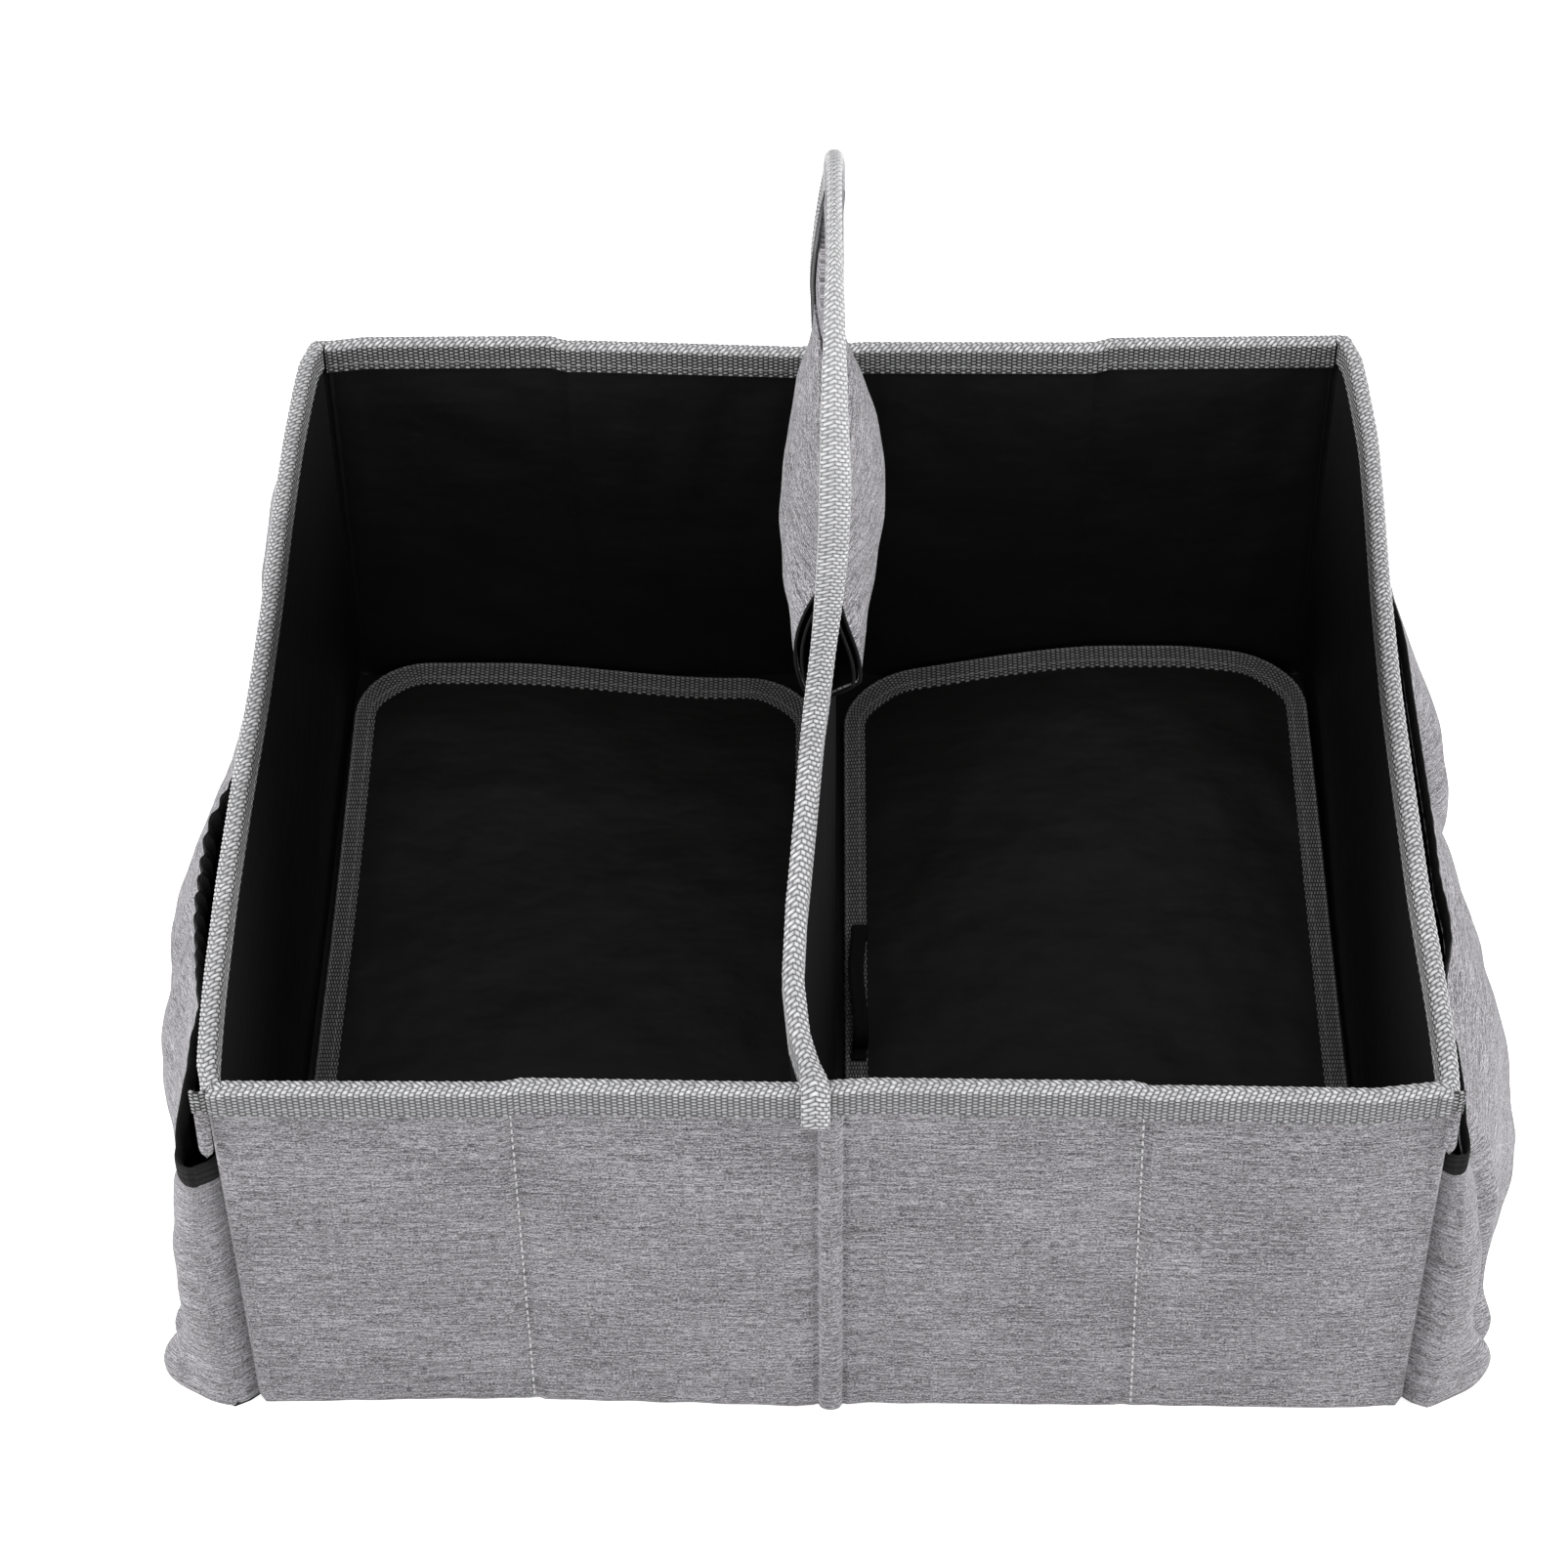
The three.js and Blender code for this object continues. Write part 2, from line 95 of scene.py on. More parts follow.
divider_low, divider_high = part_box("divider_lining")
divider_reach = divider_high.y
divider_half = divider_high.x
divider_foot = divider_low.z
handle_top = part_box("divider_binding")[1].z

FRONT, BACK = -1, 1
LEFT, RIGHT = -1, 1
SIDE_NAMES = {LEFT: "left", RIGHT: "right"}
FACE_NAMES = {FRONT: "front", BACK: "back"}


def wall_name(side, face):
    return f"{SIDE_NAMES[side]}_{FACE_NAMES[face]}"


def panel_names(side, face):
    """The two stiff panels of half a long wall, from the divider outwards."""
    return [f"{wall_name(side, face)}_{part}" for part in ("inner", "outer")]


DIVIDER_BOW = 0.0116


def length_property(name, description, default):
    return bpy.props.FloatProperty(name=name, description=description, default=default, unit="LENGTH")


class CaddySizes(bpy.types.PropertyGroup):
    """Sizes that change the look of the cloth and webbing."""

    webbing_flange: length_property(
        "Webbing flange", "How far the webbing reaches down each face of an edge", rim_height - flange_foot
    )
    thread_pitch: length_property(
        "Thread pitch", "Distance between two floats of the webbing along its length", 0.00185
    )
    thread_row: length_property(
        "Thread row", "Distance between two rows of floats across the webbing", 0.0015
    )
    thread_relief: length_property(
        "Thread relief", "How far the floats of the webbing stand out of it", 0.00036
    )
    stitch_pitch: length_property("Stitch pitch", "Distance from one stitch to the next", 0.0037)
    divider_bow: length_property(
        "Divider bow", "How far the front half of the divider bends to the left at the rim", DIVIDER_BOW
    )
    handle_lean: length_property(
        "Handle lean", "How far the back leg of the handle leans to the left", 0.0036
    )
    gather_pitch: length_property(
        "Gather pitch", "Distance from one gather of the pouch cloth to the next", 0.0085
    )
    board_warp: length_property(
        "Board warp", "How far the right floor board's back corner has lifted", 0.0175
    )


def colour_property(name, description, default):
    return bpy.props.FloatVectorProperty(
        name=name, description=description, default=default, subtype="COLOR", size=3, min=0, max=1
    )


class CaddyColours(bpy.types.PropertyGroup):
    """Colours of the cloths, webbing and thread."""

    heather_light: colour_property("Heather light", "Pale yarns of the outer cloth", (0.43, 0.422, 0.442))
    heather_mid: colour_property("Heather middle", "Middle tone of the outer cloth", (0.19, 0.184, 0.195))
    heather_dark: colour_property("Heather dark", "Dark yarns of the outer cloth", (0.04, 0.038, 0.041))
    webbing_light: colour_property("Webbing light", "Floats of the webbing", (0.6, 0.6, 0.61))
    webbing_ground: colour_property(
        "Webbing ground", "Between the floats of the webbing's flanges", (0.075, 0.075, 0.078)
    )
    webbing_gap: colour_property(
        "Webbing gap", "Between the floats of the webbing's crown", (0.085, 0.085, 0.09)
    )
    # Painted shade: the dark colour between the floats on the webbing's inner side stands for the shade
    # inside the box.
    webbing_inside: colour_property(
        "Webbing inside", "Between the floats on the inner side", (0.012, 0.012, 0.012)
    )
    # Painted light: the gaps of the handle's webbing are painted paler where more light falls on the handle.
    handle_gap: colour_property(
        "Handle gap", "Between the floats of the handle's webbing", (0.22, 0.22, 0.224)
    )
    # Painted shade: the floor boards' webbing is a darker copy of the rim webbing for the shade inside the
    # box, and its gaps take the dark inside colour.
    board_webbing: colour_property(
        "Board webbing", "Floats of the webbing on the floor boards", (0.5, 0.5, 0.5)
    )
    lining: colour_property("Lining", "Coated lining cloth", (0.006, 0.006, 0.0065))
    board_cloth: colour_property("Board cloth", "Cloth over the floor boards", (0.0065, 0.0062, 0.006))
    elastic: colour_property("Elastic", "Elastic bands and pull loops", (0.004, 0.004, 0.0042))
    thread: colour_property("Thread", "Sewing thread", (0.62, 0.62, 0.62))
    stiffener: colour_property("Stiffener", "Grey board inside the walls", (0.35, 0.3, 0.24))


def sizes():
    return bpy.context.scene.caddy_sizes


def colours():
    return bpy.context.scene.caddy_colours


# Shader kit

class Signal:
    """A shader socket that takes part in ordinary arithmetic."""

    def __init__(self, shader, socket):
        self.shader = shader
        self.socket = socket

    def maths(self, operation, *values):
        return self.shader.node("ShaderNodeMath", {"operation": operation}, dict(enumerate(values)))

    def __add__(self, other):
        return self.maths("ADD", self, other)

    def __radd__(self, other):
        return self.maths("ADD", other, self)

    def __sub__(self, other):
        return self.maths("SUBTRACT", self, other)

    def __rsub__(self, other):
        return self.maths("SUBTRACT", other, self)

    def __mul__(self, other):
        return self.maths("MULTIPLY", self, other)

    def __rmul__(self, other):
        return self.maths("MULTIPLY", other, self)

    def __truediv__(self, other):
        return self.maths("DIVIDE", self, other)

    def __mod__(self, other):
        return self.maths("FLOORED_MODULO", self, other)

    def __pow__(self, other):
        return self.maths("POWER", self, other)

    def __abs__(self):
        return self.maths("ABSOLUTE", self)

    def __gt__(self, other):
        return self.maths("GREATER_THAN", self, other)

    def __lt__(self, other):
        return self.maths("LESS_THAN", self, other)

    def floor(self):
        return self.maths("FLOOR", self)

    def sine(self):
        return self.maths("SINE", self)

    def at_least(self, other):
        return self.maths("MAXIMUM", self, other)

    def at_most(self, other):
        return self.maths("MINIMUM", self, other)


class Shader:
    """The node tree of one material or world, and the only place where its nodes are made."""

    def __init__(self, owner):
        self.owner = bpy.data.materials.new(owner) if isinstance(owner, str) else owner
        self.owner.use_nodes = True
        self.tree = self.owner.node_tree
        self.tree.nodes.clear()

    def node(self, kind, settings=(), sockets=(), output=0):
        made = self.tree.nodes.new(kind)
        for key, value in dict(settings).items():
            if key == "stops":
                self.set_stops(made.color_ramp, value)
            else:
                setattr(made, key, value)
        for key, value in dict(sockets).items():
            if isinstance(value, Signal):
                self.tree.links.new(value.socket, made.inputs[key])
            else:
                made.inputs[key].default_value = value
        return None if output is None else Signal(self, made.outputs[output])

    def set_stops(self, ramp, stops):
        while len(ramp.elements) < len(stops):
            ramp.elements.new(1)
        for element, (place, colour) in zip(ramp.elements, stops):
            element.position = place
            element.color = (*colour, 1)

    def pattern(self):
        """The two coordinates of the piece's own pattern, in metres."""
        place = self.node("ShaderNodeUVMap", {"uv_map": "pattern"})
        along = self.node("ShaderNodeSeparateXYZ", (), {0: place}, "X")
        return along, Signal(self, along.socket.node.outputs["Y"])

    def noise(self, x, y, z=0.0, detail=2.0, roughness=0.5):
        place = self.node("ShaderNodeCombineXYZ", (), {0: x, 1: y, 2: z})
        sockets = {"Vector": place, "Scale": 1.0, "Detail": detail, "Roughness": roughness}
        return self.node("ShaderNodeTexNoise", {"noise_dimensions": "3D"}, sockets, "Fac")

    def speck(self, x, y):
        """A random number for each whole pair of numbers."""
        place = self.node("ShaderNodeCombineXYZ", (), {0: x, 1: y})
        return self.node("ShaderNodeTexWhiteNoise", {"noise_dimensions": "2D"}, {"Vector": place}, "Value")

    def ramp(self, value, *stops):
        return self.node("ShaderNodeValToRGB", {"stops": stops}, {0: value})

    def mixed(self, share, a, b):
        sockets = {0: share, 6: self.tint(a), 7: self.tint(b)}
        return self.node("ShaderNodeMix", {"data_type": "RGBA"}, sockets, 2)

    def tint(self, colour):
        return colour if isinstance(colour, Signal) else (*colour, 1)

    def bump(self, height, depth, strength=1.0, normal=None):
        sockets = {"Height": height, "Distance": depth, "Strength": strength}
        if normal:
            sockets["Normal"] = normal
        return self.node("ShaderNodeBump", (), sockets)

    def finish(self, colour, roughness, normal=None, **constants):
        sockets = {"Base Color": self.tint(colour), "Roughness": roughness}
        if normal:
            sockets["Normal"] = normal
        for key, value in constants.items():
            sockets[key.replace("_", " ").title().replace("Ior", "IOR")] = value
        surface = self.node("ShaderNodeBsdfPrincipled", (), sockets)
        return self.shown(surface)

    def shown(self, surface, kind="ShaderNodeOutputMaterial"):
        """Ends the tree with a surface, and gives back the material or world."""
        self.node(kind, (), {"Surface": surface}, None)
        return self.owner


def whole(value):
    return value.floor() if isinstance(value, Signal) else np.floor(value)


def positive(value):
    return value.at_least(0.0) if isinstance(value, Signal) else np.maximum(value, 0.0)


def lesser(value, limit):
    return value.at_most(limit) if isinstance(value, Signal) else np.minimum(value, limit)


CROWN_REACH = 0.003
STITCH_REACH = 0.0102
STITCH_HALF = 0.0003


def flange_share(across):
    """0 on the crown of a folded tape and 1 on its flanges."""
    return lesser(positive(abs(across) - CROWN_REACH) / 0.0012, 1.0)


def float_cell(along, across):
    """Which float of the webbing a place is in, and where in it: its numbers and its two offsets."""
    inner, outer = lesser(positive(across), CROWN_REACH), lesser(positive(-1 * across), CROWN_REACH)
    flange = positive(abs(across) - CROWN_REACH)
    row = (inner + outer * 2) / CROWN_REACH + flange / sizes().thread_row
    column = (along + inner * 0.75 + outer * 0.5) / sizes().thread_pitch + 512.0
    column_number = whole(column)
    place = row + (column_number % 2.0) * 0.5 + 0.5
    row_number = whole(place)
    return column_number, row_number, column - column_number - 0.5, place - row_number - 0.5


def weave(along, across):
    """Thread height of the webbing, 0 in its gaps and 1 on its floats, which are shorter on the flanges."""
    _, _, aside, upright = float_cell(along, across)
    half = 0.5 - flange_share(across) * 0.15
    bulge = positive(1 - aside * aside / 0.21) * positive(1 - upright * upright / (half * half))
    return bulge ** 0.7


def sewn_row(along, across):
    """1 on the stitches near both edges of the webbing."""
    off = abs(abs(across) - STITCH_REACH) / STITCH_HALF
    dash = abs((along / 0.0039) % 1.0 - 0.5) / 0.4
    return positive(1 - off * off) * positive(1 - dash * dash * dash * dash)


def heather_cloth():
    """Woven cloth of pale and dark yarns, with long streaks along the weft."""
    shader = Shader("heather_cloth")
    u, v = shader.pattern()
    streak = shader.noise(u / 0.003, v / 0.00046, 0.0, 3.0, 0.65)
    slub = shader.noise(u / 0.017, v / 0.0011, 4.0, 2.0)
    grain = shader.noise(u / 0.0007, v / 0.0006, 9.0, 1.0)
    cloud = shader.noise(u / 0.05, v / 0.035, 2.0, 1.0)
    tone = 0.5 + (streak - 0.5) * 2.1 + (slub - 0.5) * 0.9 + (grain - 0.5) * 1.5 + (cloud - 0.5) * 0.25
    palette = colours()
    colour = shader.ramp(
        tone, (0.12, palette.heather_dark), (0.5, palette.heather_mid), (0.9, palette.heather_light)
    )
    warm = (shader.noise(u / 0.006, v / 0.003, 13.0, 2.0) - 0.5) * 0.9 + 0.25
    colour = shader.mixed(positive(warm) * 0.4, colour, shader.ramp(
        tone, (0.12, (0.045, 0.038, 0.043)), (0.5, (0.19, 0.173, 0.187)), (0.9, (0.4, 0.39, 0.414))
    ))
    yarns = (u * (2 * math.pi / 0.0008)).sine() * (v * (2 * math.pi / 0.00062)).sine()
    height = yarns * 0.25 + streak * 0.9 + grain * 0.6
    return shader.finish(
        colour, 0.88, shader.bump(height, 0.00022, 0.7), specular_ior_level=0.2,
        sheen_weight=0.12, sheen_roughness=0.5,
    )


def webbing_finish(name, light, ground, gap, inside, handle=None):
    """Herringbone webbing with a row of stitches near each long edge. Its inner side is painted darker, as
    painted shade inside the box: dimmer floats with the dark inside colour between them.
    Handle gives the middle and the half length of the stretch where the weave is tighter and painted paler,
    as painted light on the handle."""
    shader = Shader(name)
    along, across = shader.pattern()
    column_number, row_number, _, _ = float_cell(along, across)
    height = weave(along, across)
    flange = flange_share(across)
    tint = shader.speck(column_number, row_number)
    soft = shader.noise(along / 0.02, across / 0.01, 3.0, 1.0)
    fibre = shader.noise(along / 0.0005, across / 0.00025, 0.0, 2.0)
    share = height * (0.62 + tint * 0.3 + fibre * 0.3) * (0.85 + soft * 0.3) * (1 - flange * 0.28)
    stitch = sewn_row(along, across)
    # Painted shade: the inner side of the tape gets dimmer floats, and the dark inside colour as its ground.
    inner = positive(across / 0.001 - 2.2).at_most(1.0)
    share = share * (1 - inner * 0.14)
    # Painted light: over the handle's stretch the gaps are painted paler.
    if handle:
        tight = positive(1.7 - abs(along - handle[0]) / handle[1]).at_most(1.0)
        gap = shader.mixed(tight, gap, colours().handle_gap)
    # Painted shade: the crown's gaps darken towards its inner half.
    gap = shader.mixed(positive(across / CROWN_REACH).at_most(1.0) * 0.6, gap, inside)
    colour = shader.mixed(flange, gap, shader.mixed(inner, ground, inside))
    colour = shader.mixed(share.at_most(1.0), colour, light)
    colour = shader.mixed(stitch.at_most(1.0) * 0.8, colour, light)
    surface = height * 0.8 + fibre * 0.2 + stitch * 1.3
    return shader.finish(colour, 0.8, shader.bump(surface, 0.0004, 0.8), specular_ior_level=0.3)


def lining_cloth(name, colour, level):
    """Coated black cloth with soft creases and a fine weave."""
    shader = Shader(name)
    u, v = shader.pattern()
    crease = shader.noise(u / 0.05, v / 0.03, 5.0, 3.0, 0.55)
    fine = shader.noise(u / 0.004, v / 0.003, 1.0, 2.0)
    grid = (u * (2 * math.pi / 0.0007)).sine() * (v * (2 * math.pi / 0.0007)).sine()
    height = crease * 6 + fine * 0.25 + grid * 0.05
    worn = shader.mixed(fine, [c * 0.8 for c in colour], [c * 1.25 for c in colour])
    return shader.finish(worn, 0.55, shader.bump(height, 0.0006, 0.6), specular_ior_level=level)


def elastic_band():
    """Black elastic with fine ribs along its length."""
    shader = Shader("elastic_band")
    along, across = shader.pattern()
    rib = (across * (2 * math.pi / 0.0011)).sine()
    thread = (along * (2 * math.pi / 0.0009)).sine()
    tone = shader.noise(along / 0.006, across / 0.004, 0.0, 2.0)
    base = colours().elastic
    colour = shader.mixed(tone, [c * 0.7 for c in base], [c * 1.8 for c in base])
    height = rib * 0.5 + thread * 0.25 + tone
    return shader.finish(colour, 0.85, shader.bump(height, 0.0003, 0.7), specular_ior_level=0.15)


def plain_thread():
    shader = Shader("sewing_thread")
    along, across = shader.pattern()
    twist = ((along + across) * (2 * math.pi / 0.0006)).sine()
    colour = shader.mixed(twist * 0.5 + 0.5, [c * 0.7 for c in colours().thread], colours().thread)
    return shader.finish(colour, 0.7, shader.bump(twist, 0.0001, 0.5), specular_ior_level=0.3)


def grey_board():
    shader = Shader("grey_board")
    u, v = shader.pattern()
    fibre = shader.noise(u / 0.002, v / 0.002, 0.0, 3.0)
    base = colours().stiffener
    colour = shader.mixed(fibre, [c * 0.8 for c in base], [c * 1.15 for c in base])
    return shader.finish(colour, 0.9, shader.bump(fibre, 0.0002, 0.5), specular_ior_level=0.3)


# Painted light: the divider's webbing is a paler copy of the rim webbing, painted lighter as light on the
# handle.
HANDLE_PAINTED_LIGHT, HANDLE_HALF = 1.07, 0.14
MATERIAL_MAKERS = {
    "heather": heather_cloth,
    "webbing": lambda: webbing_finish(
        "rim_webbing", colours().webbing_light, colours().webbing_ground, colours().webbing_gap,
        colours().webbing_inside
    ),
    "handle_webbing": lambda: webbing_finish(
        "handle_webbing", [c * HANDLE_PAINTED_LIGHT for c in colours().webbing_light], colours().webbing_ground,
        colours().webbing_gap, colours().webbing_ground,
        (0.5 * crown_run(divider_crown())[1][-1], HANDLE_HALF)
    ),
    # Painted shade: the floor boards' webbing, darkened for the shade inside the box.
    "board_webbing": lambda: webbing_finish(
        "board_webbing", colours().board_webbing, colours().webbing_inside, colours().webbing_inside,
        colours().webbing_inside
    ),
    "lining": lambda: lining_cloth("lining_cloth", colours().lining, 0.12),
    "board_cloth": lambda: lining_cloth("board_cloth", colours().board_cloth, 0.12),
    "elastic": elastic_band,
    "thread": plain_thread,
    "board": grey_board,
}
made_materials = {}


def material(key):
    if key not in made_materials:
        made_materials[key] = MATERIAL_MAKERS[key]()
    return made_materials[key]


# Shape kit

def smooth(low, high, value):
    """0 before low, 1 after high, and an even rise between them."""
    share = np.clip((value - low) / (high - low), 0, 1)
    return share * share * (3 - 2 * share)


def folds(seed, waves, shortest, longest):
    """A soft uneven surface, about -1 to 1: seeded waves of many lengths and directions."""
    draw = np.random.default_rng(seed)
    parts = []
    for _ in range(waves):
        length = shortest * (longest / shortest) ** draw.random()
        angle = draw.random() * 2 * math.pi
        parts.append((math.cos(angle) / length, math.sin(angle) / length, draw.random() * 2 * math.pi))

    def height(x, y):
        total = sum(np.sin(2 * math.pi * (kx * x + ky * y) + phase) for kx, ky, phase in parts)
        return total / math.sqrt(waves) / 1.4

    return height


class Route:
    """A drawn line that can be read at any share of its length."""

    def __init__(self, points):
        self.points = np.array(points, float)
        steps = np.linalg.norm(np.diff(self.points, axis=0), axis=1)
        self.reach = np.concatenate([[0], np.cumsum(steps)])
        self.length = self.reach[-1]

    def at(self, share):
        along = np.asarray(share) * self.length
        return [np.interp(along, self.reach, axis) for axis in self.points.T]

    def normal(self, share):
        """The direction to the right of the line, for a line with two coordinates."""
        step = 0.002
        x0, y0 = self.at(np.clip(share - step, 0, 1))
        x1, y1 = self.at(np.clip(share + step, 0, 1))
        size = np.hypot(x1 - x0, y1 - y0)
        return (y1 - y0) / size, -(x1 - x0) / size


def soft_line(table, reach):
    """A smooth line through a table of values, rounded off over a reach."""
    places = np.array(sorted(table))
    fine = np.linspace(places[0], places[-1], 400)
    values = np.interp(fine, places, [table[p] for p in places])
    count = max(int(reach / (fine[1] - fine[0])), 1)
    window = np.hanning(count + 2)[1:-1]
    padded = np.pad(values, (count // 2, count - 1 - count // 2), mode="edge")
    values = np.convolve(padded, window / window.sum(), mode="valid")
    return lambda place: np.interp(place, fine, values)


def curve(p0, p1, p2, p3, steps=24):
    """The points of a cubic curve between p0 and p3, which leaves towards p1 and arrives from p2."""
    t = np.linspace(0, 1, steps + 1)[:, None]
    p0, p1, p2, p3 = (np.array(p, float) for p in (p0, p1, p2, p3))
    points = (1 - t) ** 3 * p0 + 3 * (1 - t) ** 2 * t * p1 + 3 * (1 - t) * t**2 * p2 + t**3 * p3
    return points.tolist()


def arc(centre, radius, start, end, steps=12):
    """The points of an arc between two angles in degrees."""
    angles = np.radians(np.linspace(start, end, steps + 1))
    return [[centre[0] + radius * math.cos(a), centre[1] + radius * math.sin(a)] for a in angles]


def between(start, end, share):
    """The value at a share of the way from start to end."""
    return start + (end - start) * share


def squarer(wave, power):
    """A sine or cosine wave with flatter tops."""
    return np.sign(wave) * np.abs(wave) ** power


def grid_shares(mesh):
    """The share along and across of each point of a new grid that is 1 wide."""
    flat = np.zeros(len(mesh.vertices) * 3, np.float32)
    mesh.vertices.foreach_get("co", flat)
    return flat[0::3].astype(float) + 0.5, flat[1::3].astype(float) + 0.5


def grid_normals(points, columns, rows):
    sheet = points.reshape(rows + 1, columns + 1, 3)
    along = np.gradient(sheet, axis=1)
    across = np.gradient(sheet, axis=0)
    normal = np.cross(along, across)
    size = np.linalg.norm(normal, axis=2, keepdims=True)
    return (normal / np.maximum(size, 1e-12)).reshape(-1, 3)


def unrolled(points, columns, rows):
    """The pattern of a sheet by its own mean lengths along and across."""
    grid = points.reshape(rows + 1, columns + 1, 3)
    along = np.linalg.norm(np.diff(grid, axis=1), axis=2)
    along = np.concatenate([np.zeros((rows + 1, 1)), np.cumsum(along, axis=1)], axis=1)
    across = np.linalg.norm(np.diff(grid, axis=0), axis=2)
    across = np.concatenate([np.zeros((1, columns + 1)), np.cumsum(across, axis=0)], axis=0)
    return np.tile(along.mean(axis=0), rows + 1), np.repeat(across.mean(axis=1), columns + 1)


def sheet(name, columns, rows, place, pattern=None, relief=None):
    """A grid of cloth. Place and pattern take the shares along and across it, and give points and pattern."""
    bpy.ops.object.select_all(action="DESELECT")
    bpy.ops.mesh.primitive_grid_add(x_subdivisions=columns, y_subdivisions=rows, size=1)
    piece = bpy.context.object
    piece.name = name
    mesh = piece.data
    mesh.name = name
    s, t = grid_shares(mesh)
    points = np.stack(np.broadcast_arrays(*place(s, t)), axis=1)
    u, v = np.broadcast_arrays(*pattern(s, t)) if pattern else unrolled(points, columns, rows)
    if relief is not None:
        points = points + grid_normals(points, columns, rows) * relief(s, t, u, v)[:, None]
    mesh.vertices.foreach_set("co", points.astype(np.float32).ravel())
    corners = np.zeros(len(mesh.loops), np.int32)
    mesh.loops.foreach_get("vertex_index", corners)
    layer = mesh.uv_layers.active
    layer.name = "pattern"
    layer.data.foreach_set("uv", np.stack([u[corners], v[corners]], axis=1).astype(np.float32).ravel())
    mesh.update()
    return piece


def select_only(piece):
    bpy.ops.object.select_all(action="DESELECT")
    piece.select_set(True)
    bpy.context.view_layer.objects.active = piece


def thicken(piece, thickness, painted_shade_inside=False):
    """Gives a sheet its thickness behind its face. When asked, it gives the inner face the black lining, as
    painted shade inside a pocket. A backed sheet shows the lining behind.
    """
    select_only(piece)
    solid = piece.modifiers.new("thickness", "SOLIDIFY")
    if painted_shade_inside:
        piece.data.materials.append(material("heather"))
        piece.data.materials.append(material("lining"))
        solid.material_offset = 1
    solid.thickness = thickness
    solid.offset = -1
    solid.use_even_offset = False
    bpy.ops.object.modifier_apply(modifier=solid.name)


def weld(piece, gap, upward=False):
    """Joins the points of a piece that meet, and turns its faces up if asked to."""
    mesh = bmesh.new()
    mesh.from_mesh(piece.data)
    bmesh.ops.remove_doubles(mesh, verts=mesh.verts, dist=gap)
    if upward and sum(face.normal.z for face in mesh.faces) < 0:
        bmesh.ops.reverse_faces(mesh, faces=mesh.faces)
    mesh.to_mesh(piece.data)
    mesh.free()


def close_up(piece, gap=0.00002):
    """Welds a sheet's meeting edges, fills its open ends and turns its faces outwards."""
    mesh = bmesh.new()
    mesh.from_mesh(piece.data)
    bmesh.ops.remove_doubles(mesh, verts=mesh.verts, dist=gap)
    open_edges = [edge for edge in mesh.edges if edge.is_boundary]
    bmesh.ops.holes_fill(mesh, edges=open_edges, sides=0)
    if mesh.calc_volume(signed=True) < 0:
        bmesh.ops.reverse_faces(mesh, faces=mesh.faces)
    mesh.to_mesh(piece.data)
    mesh.free()


def dress(piece, key, body, replaced=(), smooth_angle=40):
    """Gives a finished piece its material, its shading and the body it moves with."""
    select_only(piece)
    if not piece.data.materials:
        piece.data.materials.append(material(key))
    bpy.ops.object.shade_smooth_by_angle(angle=math.radians(smooth_angle))
    if isinstance(body, str):
        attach(piece, body)
    if replaced:
        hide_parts(*replaced)
    return piece


# Walls

# How the rim of the long walls leaves a straight line: places along X, drop of the rim, lean of the rim
# outwards and lean of the foot outwards. Each panel sits differently from its neighbour.
RIM_LINES = {
    FRONT: {
        "place": (-0.184, -0.101, -0.095, -0.012, 0.012, 0.092, 0.0985, 0.165, 0.184),
        "drop": (0.0012, 0.0016, 0.0002, 0.0016, 0.0002, 0.0012, 0.0026, 0.0032, 0.0012),
        "rim": (0.0006, 0.0006, 0.0002, 0.0008, 0.0002, 0.0006, 0.001, 0.0018, 0.0008),
        "foot": (-0.0008, -0.0022, -0.002, 0.001, -0.0003, 0.0007, 0.0007, 0.0018, 0.0008),
    },
    BACK: {
        "place": (-0.184, -0.17, -0.103, -0.094, -0.012, 0.012, 0.092, 0.103, 0.184),
        "drop": (-0.0006, -0.0014, -0.0016, -0.0007, 0.001, -0.0003, -0.0002, -0.0012, -0.0018),
        "rim": (0.0006, 0.002, 0.0024, 0.0011, -0.0006, 0.0005, 0.0004, 0.0018, 0.0024),
        "foot": (0.0, 0.0, 0.0, 0.0, 0.0, 0.0, 0.0, 0.0, 0.0),
    },
}


def rim_line(face, what, x):
    line = RIM_LINES[face]
    return np.interp(x, line["place"], line[what])


def long_wall(face, x, z, depth):
    """A point of a long wall, by its place along X, its height and its depth from the outer face."""
    up = z / rim_height
    lean = rim_line(face, "foot", x) * (1 - up) + rim_line(face, "rim", x) * up
    return x, face * (half_depth - depth + lean), z - rim_line(face, "drop", x) * up


END_ROUND = 0.003
END_ROUTE = Route(
    [[half_width - wall_depth, -half_depth]]
    + arc((half_width - END_ROUND, -half_depth + END_ROUND), END_ROUND, -90, 0)
    + [[half_width, -half_depth * k] for k in (0.75, 0.5, 0.25, 0, -0.25, -0.5, -0.75)]
    + arc((half_width - END_ROUND, half_depth - END_ROUND), END_ROUND, 0, 90)
    + [[half_width - wall_depth, half_depth]]
)


# How far each end wall bows outwards at its rim, by places along it
END_BOWS = {
    LEFT: soft_line({
        -0.1775: 0.0012, -0.16: 0.0028, -0.132: 0.0042, -0.091: 0.0049, -0.048: 0.0046, -0.002: 0.0037,
        0.046: 0.0037, 0.086: 0.0044, 0.122: 0.0045, 0.155: 0.0035, 0.1775: 0.002,
    }, 0.03),
    RIGHT: soft_line({
        -0.1775: 0.0004, -0.15: 0.0008, -0.132: 0.0006, -0.091: -0.0004, -0.048: -0.0004, -0.002: -0.0002,
        0.046: 0.0012, 0.086: 0.0032, 0.122: 0.0046, 0.155: 0.0036, 0.1775: 0.002,
    }, 0.03),
}


